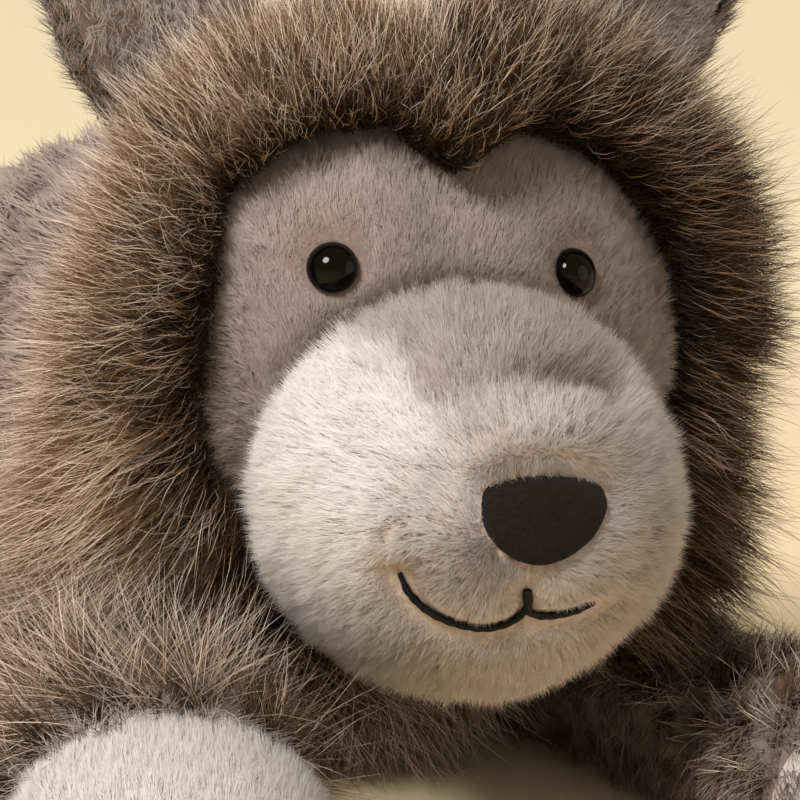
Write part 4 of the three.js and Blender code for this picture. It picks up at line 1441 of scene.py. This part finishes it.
INSIDE = {"belly_pellet_bag": PELLET_CLOTH, "eye_washer_left": WASHER, "eye_washer_right": WASHER}
for name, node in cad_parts.items():
    node.data.materials.clear()
    node.data.materials.append(INSIDE.get(name, FIBREFILL))


# Floor and backdrop: pale yellow where seen, and still holding the object's shadow. Distances in metres.

FLOOR_COLOUR = (246, 224, 184)
BACKDROP_COLOUR = (255, 233, 191)
BACKDROP_SHARE = 0.82
BACKDROP_START = 0.15
BACKDROP_FULL = 0.9
FLOOR_REACH = 12


def seen_rays(tree):
    """1 for rays that are seen: the camera's own, in a reflection, or through glass."""
    path = add_node(tree, "ShaderNodeLightPath")
    seen = path.outputs["Is Camera Ray"]
    for kind in ("Is Glossy Ray", "Is Transmission Ray"):
        join = add_node(tree, "ShaderNodeMath", {0: seen, 1: path.outputs[kind]}, operation="MAXIMUM")
        seen = join.outputs[0]
    return seen


def floor_material():
    material, tree, shader = new_material("floor")
    feed(shader, {"Base Color": linear(*FLOOR_COLOUR), "Roughness": 0.9, "Specular IOR Level": 0.1})
    glow = add_node(tree, "ShaderNodeEmission", {"Color": linear(*BACKDROP_COLOUR)})
    place = add_node(tree, "ShaderNodeNewGeometry")
    away = add_node(tree, "ShaderNodeVectorMath", {0: place.outputs["Position"]}, operation="LENGTH")
    fade = add_node(tree, "ShaderNodeMapRange", {
        "Value": away.outputs["Value"], "From Min": BACKDROP_START, "From Max": BACKDROP_FULL,
        "To Max": BACKDROP_SHARE}, interpolation_type="SMOOTHSTEP")
    share = add_node(tree, "ShaderNodeMath", {0: seen_rays(tree), 1: fade.outputs[0]}, operation="MULTIPLY")
    mix = add_node(
        tree, "ShaderNodeMixShader", {0: share.outputs[0], 1: shader.outputs[0], 2: glow.outputs[0]})
    feed(tree.nodes["Material Output"], {"Surface": mix.outputs[0]})
    return material


corners = np.array(((-1, -1, 0), (1, -1, 0), (1, 1, 0), (-1, 1, 0)))
mesh_object("floor", corners * (FLOOR_REACH / MM), [(0, 1, 2, 3)], floor_material())


# Camera. The photograph is 800 pixels square, and the head's centre falls at this pixel of it.

FRAME_PIXELS = 800
FOCAL_PIXELS = 2817
HEAD_PIXEL = (373, 334)
CAMERA_DISTANCE = 700
CAMERA_YAW = math.radians(20.9)
CAMERA_HEIGHT_ANGLE = math.radians(10)
CAMERA_ROLL = math.radians(4.5)
SENSOR_WIDTH = 36
CLIP_END = 50


def place_camera():
    level, drop = math.cos(CAMERA_HEIGHT_ANGLE), math.sin(CAMERA_HEIGHT_ANGLE)
    ahead = Vector((math.sin(CAMERA_YAW) * level, math.cos(CAMERA_YAW) * level, -drop))
    flat = Vector((math.cos(CAMERA_YAW), -math.sin(CAMERA_YAW), 0))
    above = flat.cross(ahead)
    right = flat * math.cos(CAMERA_ROLL) + above * math.sin(CAMERA_ROLL)
    top = above * math.cos(CAMERA_ROLL) - flat * math.sin(CAMERA_ROLL)
    aside, down = ((FRAME_PIXELS / 2 - pixel) / FOCAL_PIXELS for pixel in HEAD_PIXEL)
    aim = (ahead + right * aside - top * down).normalized()
    right = (right - aim * right.dot(aim)).normalized()
    lens = bpy.data.cameras.new("camera")
    lens.sensor_width = SENSOR_WIDTH
    lens.lens = SENSOR_WIDTH * FOCAL_PIXELS / FRAME_PIXELS
    lens.clip_end = CLIP_END
    place = Matrix((right, right.cross(aim), -aim)).transposed().to_4x4()
    place.translation = (Vector(HEAD_CENTRE) - ahead * CAMERA_DISTANCE) * MM
    scene.camera = add_object("camera", lens)
    scene.camera.matrix_world = place


place_camera()


# Lights: a soft key from the wolf's right, a faint fill, and one from behind. Distances in metres.

WORLD_COLOUR = (250, 244, 234)
WORLD_STRENGTH = 0.36
HORIZON_STRENGTH = 0.9
OVERHEAD_STRENGTH = 0.45
OVERHEAD_RISE = 0.25


def add_lamp(name, way, distance, size, power, colour):
    lamp = bpy.data.lights.new(name, "AREA")
    lamp.shape = "DISK"
    lamp.size = size
    lamp.energy = power
    lamp.color = colour
    light = add_object(name, lamp)
    way = Vector(way).normalized()
    light.location = Vector(HEAD_CENTRE) * MM + way * distance
    light.rotation_euler = (-way).to_track_quat("-Z", "Y").to_euler()


add_lamp("key", (-0.62, -0.42, 0.66), distance=2.0, size=0.67, power=43, colour=(1.0, 0.99, 0.98))
add_lamp("fill", (0.7, -0.7, 0.3), distance=1.2, size=0.9, power=2.0, colour=(1.0, 0.9, 0.78))
add_lamp("back", (0.1, 0.7, 0.7), distance=1.3, size=0.9, power=4, colour=(1.0, 0.97, 0.92))


def make_world():
    """Even light from all round, and a backdrop for seen rays that darkens overhead."""
    world = bpy.data.worlds.new("studio")
    scene.world = world
    world.use_nodes = True
    tree = world.node_tree
    light = tree.nodes["Background"]
    feed(light, {"Color": linear(*WORLD_COLOUR), "Strength": WORLD_STRENGTH})
    way = add_node(tree, "ShaderNodeTexCoord")
    split = add_node(tree, "ShaderNodeSeparateXYZ", {0: way.outputs["Generated"]})
    fade = add_node(tree, "ShaderNodeMapRange", {
        "Value": split.outputs["Z"], "From Max": OVERHEAD_RISE, "To Min": HORIZON_STRENGTH,
        "To Max": OVERHEAD_STRENGTH}, interpolation_type="SMOOTHSTEP")
    backdrop = add_node(
        tree, "ShaderNodeBackground", {"Color": linear(*BACKDROP_COLOUR), "Strength": fade.outputs[0]})
    mix = add_node(
        tree, "ShaderNodeMixShader", {0: seen_rays(tree), 1: light.outputs[0], 2: backdrop.outputs[0]})
    feed(tree.nodes["World Output"], {"Surface": mix.outputs[0]})


make_world()
scene.view_settings.view_transform = "Standard"
